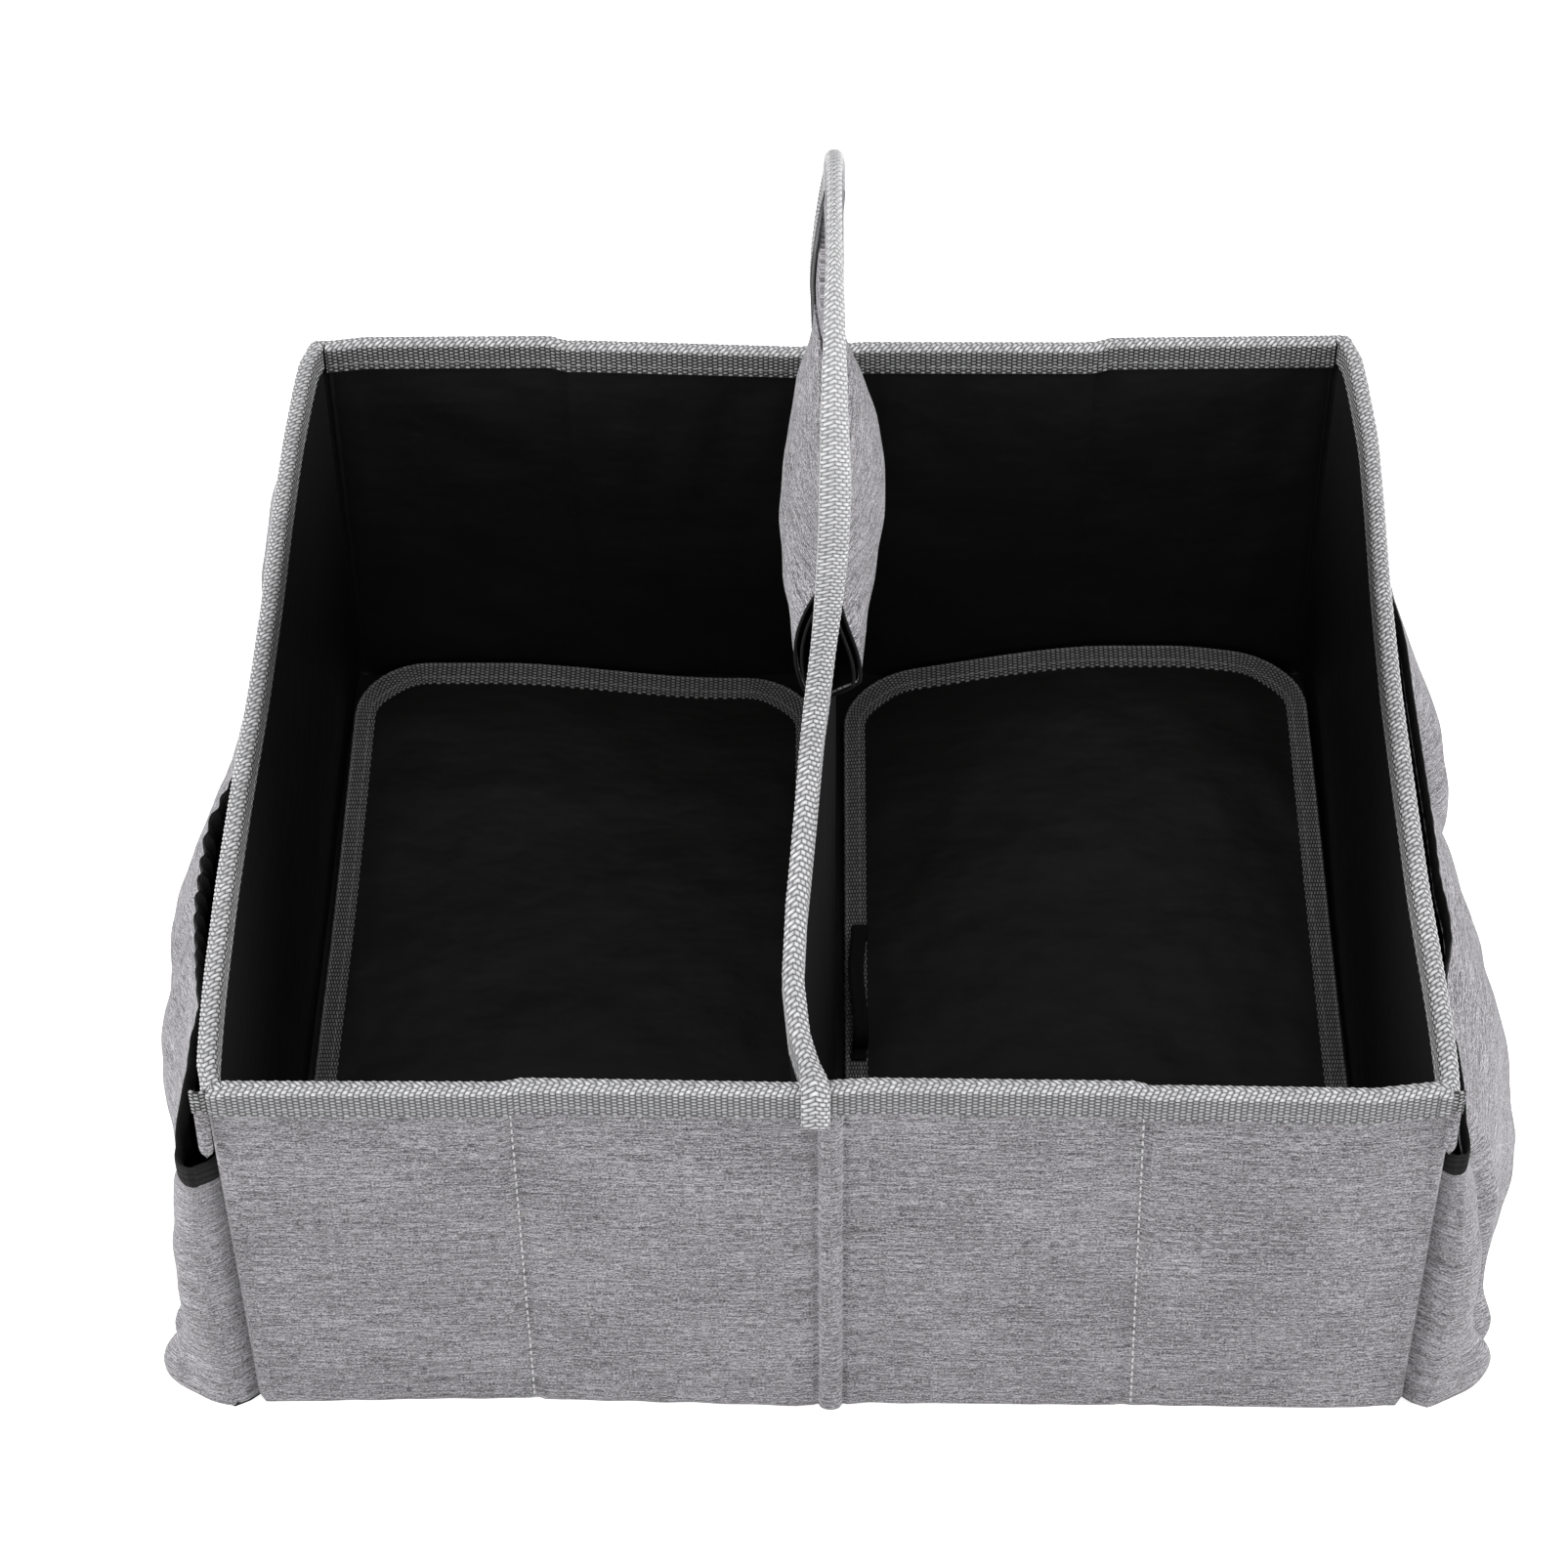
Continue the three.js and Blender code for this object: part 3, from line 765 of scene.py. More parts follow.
def end_bow(side, y):
    """How far an end wall bows outwards at its rim."""
    return END_BOWS[side](y) * smooth(0, 0.014, half_depth - np.abs(y))


def end_point(side, x, y, z):
    """Moves a point of an end wall so that it meets the long walls at both corners."""
    corner = side * corner_hinge
    back = smooth(-half_depth, half_depth, y)
    up = z / rim_height
    shift = 0
    for face, share in ((FRONT, 1 - back), (BACK, back)):
        lean = rim_line(face, "foot", corner) * (1 - up) + rim_line(face, "rim", corner) * up
        shift = shift + face * lean * share ** 3
    drop = rim_line(FRONT, "drop", corner) * (1 - back) + rim_line(BACK, "drop", corner) * back
    return side * (x + end_bow(side, y) * (0.3 + 0.7 * up)), y + shift, z - drop * up


def end_wall(side, share, z, depth):
    """A point of an end wall, by its share of the way round from one long wall to the other."""
    share = share if side == RIGHT else 1 - share
    x, y = END_ROUTE.at(share)
    across, forward = END_ROUTE.normal(share)
    x = np.minimum(x - across * depth, half_width - depth)
    y = y - forward * depth
    return end_point(side, x, np.clip(y, depth - half_depth, half_depth - depth), z)


def wall_run(side, face, near, far):
    """The two ends of a stretch of long wall, left to right as seen from outside."""
    ends = sorted((side * near, side * far))
    return ends if face == FRONT else ends[::-1]


panel_crease = folds(11, 14, 0.012, 0.09)


def seam_groove(x):
    """How deep the stitched quarter seams draw the cloth in."""
    off = (np.abs(x) - quarter_seam) / 0.002
    return 0.0007 * np.exp(-off * off)


def cloth_play(x, z):
    """How the outer cloth leaves its board: a soft pillow in each panel, and slight creases."""
    panel = np.where(np.abs(x) < quarter_seam, np.abs(x) - centre_hinge, np.abs(x) - quarter_seam)
    share = np.clip(panel / (quarter_seam - centre_hinge), 0, 1)
    pillow = 0.0008 * np.sin(math.pi * share) * np.sin(math.pi * np.clip(z / wall_top, 0, 1)) ** 0.5
    off = np.abs(np.abs(x) - quarter_seam)
    pucker = 0.00022 * np.sin(z * (2 * math.pi / 0.0074) + 5 * panel_crease(z, x)) * np.exp(-off / 0.006)
    return pillow + 0.00025 * panel_crease(x, z) + pucker - seam_groove(x)


def hem(z):
    """The cloth turns in under the wall at its foot."""
    return 0.0016 * (1 - smooth(0.0, 0.003, z))


def make_wall_cloth(side, face):
    """The outer cloth of half a long wall, over both of its boards."""
    start, end = wall_run(side, face, centre_hinge, corner_hinge)

    def pattern(s, t):
        return between(start, end, s), wall_top * t

    def place(s, t):
        x, z = pattern(s, t)
        return long_wall(face, x, z, cloth_depth - cloth_play(x, z) + hem(z))

    piece = sheet(f"{wall_name(side, face)}_outer_skin", 170, 60, place, pattern)
    thicken(piece, CLOTH_LAYER)
    dress(piece, "heather", None, [f"{panel}_cloth" for panel in panel_names(side, face)])
    bend_at_seam(piece)


def bend_at_seam(piece):
    """Bakes the placement of a piece of a long wall into its points."""
    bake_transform(piece)


lining_crease = folds(23, 18, 0.02, 0.12)


def make_panel_board(side, face, panel, near, far):
    """The board of one stiff panel of a long wall."""
    start, end = wall_run(side, face, near, far)
    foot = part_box(f"{panel}_stiffener")[0].z

    def place(s, t):
        return long_wall(face, between(start, end, s), between(foot, wall_top, t), board_depth)

    piece = sheet(f"{panel}_board", 30, 4, place, lambda s, t: (between(start, end, s), wall_top * t))
    thicken(piece, 0.0018)
    dress(piece, "board", panel, [f"{panel}_stiffener"])


def make_panel_lining(side, face, panel, near, far):
    """The lining of one stiff panel of a long wall."""
    beyond = 0.0009 if panel.endswith("outer") else 0
    start, end = wall_run(side, -face, near, far + beyond)

    def pattern(s, t):
        return between(start, end, s), wall_top * t

    def place(s, t):
        x, z = pattern(s, t)
        edge = np.minimum(s, 1 - s) * (far - near)
        free = smooth(flange_foot + 0.001, flange_foot - 0.012, z)
        soft = 0.0006 * smooth(0, 0.012, edge) * (1 + lining_crease(x + face, z)) * free
        depth = lining_depth + LINING_PROUD + soft - 0.0006 * (1 - smooth(0, 0.004, edge))
        return long_wall(face, x, z, depth)

    piece = sheet(f"{panel}_inside", 58, 40, place, pattern)
    thicken(piece, LINING_LAYER)
    dress(piece, "lining", panel, [f"{panel}_lining"])


def edge_section(width, out_flange, in_flange, crown, pitch=0.00042):
    """The closed outline of webbing folded over an edge: offsets across and above the edge, place across the
    tape, and 1 on the outside of the tape. It starts at the foot of the flange on the positive side."""
    half, skin = width / 2, 0.0009
    outside = [[half, -out_flange]]
    outside += [[half * math.cos(a), crown * (math.sin(a) - 1)] for a in np.linspace(0, math.pi, 25)]
    outside += [[-half, -in_flange]]
    line = Route(outside)
    steps = int(line.length / pitch)
    across, above = line.at(np.linspace(0, 1, steps + 1))
    place = np.linspace(0, line.length, steps + 1) - line.length / 2
    inner = half - skin
    shoulder = -skin - crown * 0.4
    inside = [[-inner, -in_flange], [-inner, -crown - skin], [-inner * 0.5, shoulder], [0, -skin * 1.3]]
    inside += [[inner * 0.5, shoulder], [inner, -crown - skin], [inner, -out_flange], [half, -out_flange]]
    inside = np.array(inside)
    edge = line.length / 2
    away = np.concatenate([np.ones(steps + 1), np.zeros(len(inside))])
    away[[0, steps]] = 0
    return {
        "across": np.concatenate([across, inside[:, 0]]),
        "above": np.concatenate([above, inside[:, 1]]),
        "tape": np.concatenate([place, np.linspace(-edge, -edge, len(inside))]),
        "outside": away,
    }


def webbing(name, section, length, place, start=0.0, end=None, free_ends=False, step=0.00046, run=None):
    """Webbing folded over an edge. Place takes the share along, and the offsets across and above the edge.
    Run is two rows, shares of the way along and the weave's own lengths there."""
    count = len(section["across"]) - 1
    steps = int(length / step)
    end = start + length if end is None else end

    def index(t):
        return np.rint(t * count).astype(int)

    def points(s, t):
        k = index(t)
        return place(s, section["across"][k], section["above"][k])

    def pattern(s, t):
        along = between(start, end, s) if run is None else np.interp(s, *run)
        return along, section["tape"][index(t)]

    def relief(s, t, u, v):
        away = section["outside"][index(t)]
        ends = smooth(0, 0.0012, np.minimum(s, 1 - s) * length) if free_ends else 1.0
        height = weave(u, v) * (1 - 0.4 * flange_share(v)) + 0.5 * sewn_row(u, v)
        return sizes().thread_relief * (height - 0.5) * away * ends

    piece = sheet(name, steps, count, points, pattern, relief)
    close_up(piece)
    return piece


def make_wall_binding(side, face):
    """The webbing over the rim of half a long wall."""
    start, end = wall_run(side, face, centre_hinge, corner_hinge)
    flange = sizes().webbing_flange
    section = edge_section(wall_depth, flange, flange, RIM_CROWN)

    def place(s, across, above):
        x = between(start, end, s)
        dip = 0.0006 * np.exp(-(((np.abs(x) - quarter_seam) / 0.003) ** 2))
        x, y, z = long_wall(face, x, rim_height + above, wall_depth / 2 - across)
        return x, y, z - dip

    piece = webbing(f"{wall_name(side, face)}_rim_webbing", section, abs(end - start), place, start, end)
    dress(piece, "webbing", None, [f"{panel}_binding" for panel in panel_names(side, face)], WEBBING_ANGLE)
    bend_at_seam(piece)


def make_end_wall(side):
    """Cloth, board, lining and rim webbing of an end wall, which turn both corners."""
    name = f"{SIDE_NAMES[side]}_end"

    def layer(what, depth, foot, columns, rows, key, thickness, inward=False):
        def place(s, t):
            share = 1 - s if inward else s
            z = between(foot, wall_top, t)
            turned = hem(z) if what == "cloth" else 0
            return end_wall(side, share, z, depth + turned)

        def pattern(s, t):
            return s * END_ROUTE.length, wall_top * t

        piece = sheet(f"{name}_wall_{what}", columns, rows, place, pattern)
        thicken(piece, thickness)
        dress(piece, key, name, [f"{name}_{what}"])

    layer("cloth", cloth_depth, 0.0, 160, 30, "heather", CLOTH_LAYER)
    layer("stiffener", board_depth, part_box(f"{name}_stiffener")[0].z, 200, 4, "board", 0.0014)
    layer("lining", lining_depth + LINING_PROUD, 0.0, 160, 40, "lining", LINING_LAYER, inward=True)
    flange = sizes().webbing_flange
    section = edge_section(wall_depth, flange, flange - 0.002, RIM_CROWN)

    def place(s, across, above):
        return end_wall(side, s, rim_height + above, wall_depth / 2 - across * 1.04)

    piece = webbing(f"{name}_rim_webbing", section, END_ROUTE.length, place)
    dress(piece, "webbing", name, [f"{name}_binding"], WEBBING_ANGLE)


def make_fold_gusset(side, face, corner):
    """A strip of lining that turns round a fold line."""
    hinge = corner_hinge if corner else centre_hinge
    toward = -1 if corner else 1
    radius = 0.0048

    def place(s, t):
        angle = np.radians(42 + 44 * s)
        x = side * (hinge + toward * radius * np.cos(angle))
        return long_wall(face, x, 0.002 + (wall_top - 0.006) * t, radius * np.sin(angle))

    where = "corner" if corner else "centre"
    name = f"{wall_name(side, face)}_{where}_gusset"
    piece = sheet(name, 12, 8, place, lambda s, t: (s * 0.008, wall_top * t))
    thicken(piece, 0.0004)
    close_up(piece)
    dress(piece, "lining", f"{SIDE_NAMES[side]}_end" if corner else "core")


class CADDY_OT_long_walls(bpy.types.Operator):
    """Adds the cloth, boards, lining and rim webbing of the front and back walls"""

    bl_idname = "caddy.long_walls"
    bl_label = "Front and back walls"

    def execute(self, context):
        stretches = ((centre_hinge, quarter_seam), (quarter_seam, corner_hinge))
        for side in (LEFT, RIGHT):
            for face in (FRONT, BACK):
                make_wall_cloth(side, face)
                make_wall_binding(side, face)
                make_fold_gusset(side, face, False)
                make_fold_gusset(side, face, True)
                for panel, stretch in zip(panel_names(side, face), stretches):
                    make_panel_board(side, face, panel, *stretch)
                    make_panel_lining(side, face, panel, *stretch)
        return {"FINISHED"}


class CADDY_OT_end_walls(bpy.types.Operator):
    """Adds the cloth, boards, lining and rim webbing of the two end walls"""

    bl_idname = "caddy.end_walls"
    bl_label = "End walls"

    def execute(self, context):
        for side in (LEFT, RIGHT):
            make_end_wall(side)
        return {"FINISHED"}


class CADDY_OT_seams(bpy.types.Operator):
    """Adds the rows of stitches down the quarter seams"""

    bl_idname = "caddy.seams"
    bl_label = "Stitches"

    def execute(self, context):
        for side in (LEFT, RIGHT):
            for face in (FRONT, BACK):
                make_seam_stitches(side, face)
        return {"FINISHED"}


def stitches(name, route, outward, length, thickness):
    """A row of sewn stitches along a route in space. Outward is the direction that they stand out in."""
    bpy.ops.object.select_all(action="DESELECT")
    bpy.ops.mesh.primitive_uv_sphere_add(segments=6, ring_count=5, radius=0.5)
    seed = bpy.context.object
    seed_points = np.array([v.co for v in seed.data.vertices])
    seed_faces = [list(f.vertices) for f in seed.data.polygons]
    bpy.data.objects.remove(seed)
    count = int(route.length / sizes().stitch_pitch)
    points, faces, marks = [], [], []
    out = np.array(outward, float)
    for k in range(count):
        ends = [np.array(route.at((k + share) / count)).ravel() for share in (0.06, 0.06 + length)]
        along = ends[1] - ends[0]
        reach = np.linalg.norm(along)
        along = along / reach
        aside = np.cross(out, along)
        shape = seed_points * np.array([reach, thickness, thickness])
        base = len(points)
        for p in shape:
            lift = thickness * (0.35 - 0.5 * (2 * p[0] / reach) ** 4)
            points.append((ends[0] + ends[1]) / 2 + along * p[0] + aside * p[1] + out * (p[2] + lift))
            marks.append((p[0], p[1]))
        faces += [[base + i for i in face] for face in seed_faces]
    mesh = bpy.data.meshes.new(name)
    mesh.from_pydata([tuple(p) for p in points], [], faces)
    layer = mesh.uv_layers.new(name="pattern")
    for loop in mesh.loops:
        layer.data[loop.index].uv = marks[loop.vertex_index]
    piece = bpy.data.objects.new(name, mesh)
    bpy.context.scene.collection.objects.link(piece)
    return piece


def make_seam_stitches(side, face):
    """The stitches down a quarter seam, on the outer cloth."""
    seam_leans = {(LEFT, FRONT): (0.0005, 0.0012), (RIGHT, FRONT): (-0.0018, 0.0026)}
    lean = seam_leans.get((side, face), (0.0008, 0.0008))
    heights = np.linspace(0.004, flange_foot - 0.0005, 40)
    xs = side * quarter_seam + side * (lean[1] + (lean[0] - lean[1]) * heights / rim_height)
    place = np.stack(long_wall(face, xs, heights, cloth_depth - cloth_play(xs, heights)), axis=1)
    piece = stitches(f"{wall_name(side, face)}_seam_stitches", Route(place), (0, face, 0), 0.7, 0.00075)
    dress(piece, "thread", None)
    bend_at_seam(piece)


# Divider and handle

NECK_HALF, NECK_HEIGHT = 0.066, 0.255
EDGE_POINTS = curve(
    (-divider_reach, wall_top), (-divider_reach + 0.053, wall_top + 0.003), (-NECK_HALF - 0.006, 0.195),
    (-NECK_HALF, NECK_HEIGHT), 40,
) + curve(
    (-NECK_HALF, NECK_HEIGHT), (-NECK_HALF + 0.003, handle_top - 0.066), (-0.061, handle_top - 0.001),
    (0, handle_top - 0.001), 48,
)[1:]
TOP_EDGE = Route(EDGE_POINTS + [[-y, z] for y, z in EDGE_POINTS[-2::-1]])
HOLE_HEIGHT = handle_top - 0.0525
HOLE_HALF, HOLE_ROUND = 0.05, 0.0175
CLOTH_LINE = 0.25
HANDLE_LAYER = 0.0006

# How far the front half of the divider stands aside, by places from front to back
BOW_PLACES = (-0.18, -0.171, -0.155, -0.135, -0.114, -0.096, -0.081, -0.071, -0.065, -0.04, 0.0, 0.18)
BOW_ASIDE = (
    -0.0042, -0.0053, -0.0095, -DIVIDER_BOW, -0.0106, -0.0086, -0.0067, -0.0054, -0.0042, -0.002, 0, 0
)


def bow(y, z):
    """How far the divider leans out of its plane: its front and the handle's back leg bend to the left."""
    front = np.interp(y, BOW_PLACES, BOW_ASIDE)
    front = front * sizes().divider_bow / DIVIDER_BOW
    foot = smooth(0.0, 0.15, z)
    high = smooth(0.2, 0.31, z)
    low_part = front * (0.25 + 0.75 * foot)
    lean = sizes().handle_lean * smooth(0.005, 0.05, y) * np.clip((0.338 - z) / 0.048, 0, 1)
    handle = 0.0012 * smooth(0.33, 0.24, z) + 0.0012 - lean
    back = -0.004 * np.exp(-(((y - 0.1) / 0.05) ** 2)) * foot
    return low_part * (1 - high) + back * (1 - high) + handle * high


def divider_point(y, z, offset):
    return bow(y, z) + offset, y, z


def make_divider_lining():
    """The black sleeve over the lower part of the divider, one skin on each face."""
    def skin(side):
        def place(s, t):
            y = (s * 2 - 1) * (divider_reach - 0.0006) * side
            edge_y, edge_z = TOP_EDGE.points.T
            top = np.minimum(np.interp(y, edge_y, edge_z) - 0.0008, CLOTH_LINE + 0.002)
            return divider_point(y, divider_foot + (top - divider_foot) * t, side * (divider_half - 0.0001))

        piece = sheet("divider_skin", 120, 40, place, lambda s, t: (s * divider_reach * 2, t * CLOTH_LINE))
        thicken(piece, LINING_LAYER)
        return piece

    piece = joined("divider_sleeve", [skin(RIGHT), skin(LEFT)])
    dress(piece, "lining", "core", ["divider_lining"])


def joined(name, parts):
    """Several parts as one piece."""
    bpy.ops.object.select_all(action="DESELECT")
    for part in parts:
        part.select_set(True)
    bpy.context.view_layer.objects.active = parts[0]
    bpy.ops.object.join()
    piece = bpy.context.object
    piece.name = name
    piece.data.name = name
    return piece


def hump_reach(angle):
    """How far the handle cloth's outline is from the hand hole's centre in a direction."""
    edge = [p for p in TOP_EDGE.points.tolist() if p[1] > CLOTH_LINE]
    outline = np.array([[edge[0][0], CLOTH_LINE]] + edge + [[edge[-1][0], CLOTH_LINE]])
    outline = np.concatenate([outline, outline[:1]]) - [0, HOLE_HEIGHT]
    reach = np.zeros_like(angle)
    direction = np.stack([np.cos(angle), np.sin(angle)], axis=1)
    for a, b in zip(outline[:-1], outline[1:]):
        side = b - a
        cross = direction[:, 0] * side[1] - direction[:, 1] * side[0]
        with np.errstate(divide="ignore", invalid="ignore"):
            far = (a[0] * side[1] - a[1] * side[0]) / cross
            share = (a[0] * direction[:, 1] - a[1] * direction[:, 0]) / cross
        hit = (far > 0) & (share >= -1e-9) & (share <= 1 + 1e-9)
        reach = np.where(hit, np.maximum(reach, far), reach)
    return reach


def hole_reach(angle):
    """How far the hand hole's edge is from its centre in a direction."""
    straight = HOLE_HALF - HOLE_ROUND
    c, s = np.abs(np.cos(angle)), np.abs(np.sin(angle))
    flat = HOLE_ROUND / np.maximum(s, 1e-9)
    round_end = c * straight + np.sqrt(np.maximum(HOLE_ROUND**2 - (s * straight) ** 2, 0))
    return np.where(flat * c <= straight, flat, round_end)


def make_handle_cloth():
    """Heather cloth over both faces of the handle, turned in round the hand hole."""
    half = divider_half + 0.0002

    def place(s, t):
        angle = s * 2 * math.pi
        outer, inner = hump_reach(angle) - 0.0012, hole_reach(angle)
        across = np.abs(t * 2 - 1)
        side = np.where(t < 0.5, 1.0, -1.0)
        rounding = np.clip(1 - across / 0.12, 0, 1)
        reach = inner + (outer - inner) * np.clip((across - 0.06) / 0.94, 0, 1) ** 1.1
        offset = side * half * np.sqrt(np.clip(1 - rounding**2, 0, 1))
        offset = offset + side * 0.0006 * smooth(0.1, 0.3, across) * smooth(1.0, 0.9, across)
        y, z = reach * np.cos(angle), HOLE_HEIGHT + reach * np.sin(angle)
        return divider_point(y, z, offset)

    def pattern(s, t):
        _, y, z = place(s, t)
        return y, z

    piece = sheet("handle_cloth", 240, 64, place, pattern)
    weld(piece, 0.00002)
    thicken(piece, HANDLE_LAYER)
    close_up(piece)
    dress(piece, "heather", "core")


def make_divider_board():
    """The board inside the divider."""
    def place(s, t):
        y = (s * 2 - 1) * (divider_reach - 0.002)
        edge_y, edge_z = TOP_EDGE.points.T
        top = np.minimum(np.interp(y, edge_y, edge_z) - 0.006, HOLE_HEIGHT - HOLE_ROUND - 0.004)
        foot = divider_foot + 0.0005
        return divider_point(y, foot + (top - foot) * t, 0.0008)

    piece = sheet("divider_board", 60, 30, place, lambda s, t: (s * 0.34, t * 0.3))
    thicken(piece, 0.0016)
    dress(piece, "board", "core", ["divider_stiffener"])


def divider_crown():
    """The line of the divider's webbing, from the outside of the front rib over the handle to the back."""
    outer = {face: float(long_wall(face, 0.0, rim_height, 0.0)[1]) for face in (FRONT, BACK)}
    front = [
        [outer[FRONT] - 0.0022, flange_foot - 0.0048], [outer[FRONT] - 0.0024, flange_foot + 0.004],
        [outer[FRONT] - 0.0018, rim_height - 0.001], [outer[FRONT] + 0.001, rim_height + 0.0012],
    ]
    back = [[outer[BACK] - (y - outer[FRONT]), z] for y, z in front[::-1]]
    middle = [
        [y, z + 0.001 + 0.001 * float(smooth(0.33, 0.364, z))]
        for y, z in TOP_EDGE.points.tolist() if abs(y) < divider_reach - 0.004
    ]
    return Route(smoothed(front + middle + back))


def crown_run(crown):
    """How the weave runs along the divider's webbing: shares of the line, and the weave's lengths there."""
    shares = np.linspace(0, 1, 801)
    tight = 1 + 0.36 * smooth(0.175, 0.235, crown.at(shares)[1])
    steps = (tight[1:] + tight[:-1]) / 2 * crown.length / 800
    return shares, np.concatenate([[0], np.cumsum(steps)])


# Half the breadth of the divider's webbing by height
TAPE_HEIGHTS = (0.165, 0.2, 0.245, 0.267, 0.3, 0.335, 0.355, 0.366)
TAPE_BREADTHS = (0.0066, 0.0067, 0.008, 0.009, 0.0096, 0.0074, 0.006, 0.0044)


def make_divider_binding():
    """Webbing over the divider's top edge and handle, over the rims and down the outside of the ribs."""
    crown = divider_crown()
    flange = sizes().webbing_flange
    width, fold = divider_half * 2 + 0.0022, 0.0016
    section = edge_section(width, flange, flange, fold)

    def place(s, across, above):
        y, z = crown.at(s)
        right, down = crown.normal(s)
        rim = smooth(half_depth - 0.012, half_depth - 0.001, np.abs(y))
        top = 1 + 0.8 * smooth(0.3, 0.36, z)
        kept = np.where(above < -fold, -fold * top + (above + fold) * (1 - 0.86 * rim), above * top)
        full = np.interp(z, TAPE_HEIGHTS, TAPE_BREADTHS)
        wide = across * (full * (1 - rim) + 0.009 * rim) / width
        py, pz = y - right * kept, z - down * kept
        return bow(np.clip(py, -half_depth, half_depth), pz) + wide, py, pz

    run = crown_run(crown)
    piece = webbing("divider_webbing", section, crown.length, place, free_ends=True, step=0.0005, run=run)
    dress(piece, "handle_webbing", "core", ["divider_binding"], WEBBING_ANGLE)


def make_rib_webbing(face):
    """The webbing over the rim of a long wall's short middle stretch."""
    flange = sizes().webbing_flange
    section = edge_section(wall_depth, flange, flange, RIM_CROWN)
    start, end = face * rib_reach, -face * rib_reach

    def place(s, across, above):
        return long_wall(face, between(start, end, s), rim_height + above, wall_depth / 2 - across)

    piece = webbing(f"{FACE_NAMES[face]}_centre_webbing", section, rib_reach * 2, place, start, end)
    dress(piece, "webbing", "core", (), WEBBING_ANGLE)


def smoothed(points, rounds=3):
    """A line of points whose corners are rounded off."""
    line = np.array(points, float)
    for _ in range(rounds):
        cut = np.empty((2 * len(line) - 2, 2))
        cut[0::2] = line[:-1] * 0.75 + line[1:] * 0.25
        cut[1::2] = line[:-1] * 0.25 + line[1:] * 0.75
        line = np.concatenate([line[:1], cut, line[-1:]])
    return line.tolist()


def make_rib(face):
    """A long wall's short middle stretch, with the proud rib that holds the divider's end, and its lining."""
    name = f"{FACE_NAMES[face]}_rib"
    end = -face * rib_reach
    half, proud = 0.0037, 0.0021

    def pattern(s, t):
        return between(-end, end, s), wall_top * t

    def place(s, t):
        x, z = pattern(s, t)
        under_tape = 1 - 0.8 * smooth(flange_foot - 0.006, flange_foot, z)
        swell = proud * np.sqrt(np.clip(1 - (x / half) ** 2, 0, 1)) * under_tape
        valley = 0.0004 * np.exp(-(((np.abs(x) - half - 0.0006) / 0.0009) ** 2))
        play = 0.00025 * panel_crease(x, z)
        return long_wall(face, x, z, cloth_depth - swell + valley - play + hem(z))

    piece = sheet(f"{name}_cloth", 64, 60, place, pattern)
    thicken(piece, CLOTH_LAYER)
    dress(piece, "heather", "core", [name])

    def inner_pattern(s, t):
        return between(end, -end, s), wall_top * t

    def inside(s, t):
        return long_wall(face, *inner_pattern(s, t), lining_depth + LINING_PROUD)

    piece = sheet(f"{name}_lining", 12, 40, inside, inner_pattern)
    thicken(piece, LINING_LAYER)
    dress(piece, "lining", "core")


# Divider pockets

POCKET_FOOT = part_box("right_divider_pocket")[0].z
POCKET_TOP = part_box("right_divider_pocket")[1].z
POCKET_HALF_LOW, POCKET_HALF_HIGH = 0.058, 0.043
MOUTH_SHARE = 0.5
POCKET_LAYER = 0.0008
pocket_crease = folds(31, 12, 0.015, 0.06)


def pocket_stand(along, up, side):
    """How far a divider pocket stands off the divider. Along runs 0 to 1 from its open front edge."""
    belly = 0.0128 * np.sin(math.pi * along) ** 0.8 * np.sin(math.pi * up) ** 0.7
    if side == RIGHT:
        mouth = 0.0088 * smooth(0, 0.08, up) * (1 - smooth(0.1, 0.52, up))
    else:
        mouth = 0.0054 * np.sin(math.pi * np.minimum(up / MOUTH_SHARE, 1)) ** 0.8
    return np.maximum(belly, 0) + np.maximum(mouth, 0) * (1 - along) ** 3


def pocket_place(along, up, side, lift):
    half = between(POCKET_HALF_LOW, POCKET_HALF_HIGH, up)
    y = -half + 2 * half * along
    z = between(POCKET_FOOT, POCKET_TOP, up)
    edge = np.minimum(np.minimum(along, 1 - along) * 2, np.minimum(up, 1 - up))
    play = 0.0006 * pocket_crease(y, z) * smooth(0, 0.3, edge)
    stand = divider_half + 0.0008 + lift + pocket_stand(along, up, side) + play
    return bow(y, z) + side * stand, y, z


def make_divider_pocket(side):
    """The bulging pocket on one face of the divider, and the black hem at its open front edge."""
    name = SIDE_NAMES[side]

    def place(s, t):
        along = s if side == RIGHT else 1 - s
        return pocket_place(np.clip(along, 0, 1), t, side, POCKET_LAYER)

    piece = sheet(f"{name}_divider_pouch", 96, 72, place)
    # Painted shade: the pocket's inner face takes the black lining, so the inside of its mouth looks dark.
    thicken(piece, POCKET_LAYER, painted_shade_inside=True)
    dress(piece, "heather", "core", [f"{name}_divider_pocket"])

    def piping(inset):
        def place(s, t):
            around = t * 2 * math.pi
            x, y, z = pocket_place(np.zeros_like(s), np.clip(s * MOUTH_SHARE * 1.02, 0, 1), side, 0.0006)
            thick = 0.00055
            away = side * (thick * np.cos(around) - inset)
            return x + away, y - 0.0008 - 0.9 * inset - thick * np.sin(around) * side, z

        cord = sheet("piping", 60, 12, place, lambda s, t: (s * 0.045, t * 0.008))
        close_up(cord)
        return cord

    hem_piece = joined(f"{name}_divider_hem", [piping(0.0), piping(0.0021)])
    dress(hem_piece, "elastic", "core", [f"{name}_divider_elastic"])


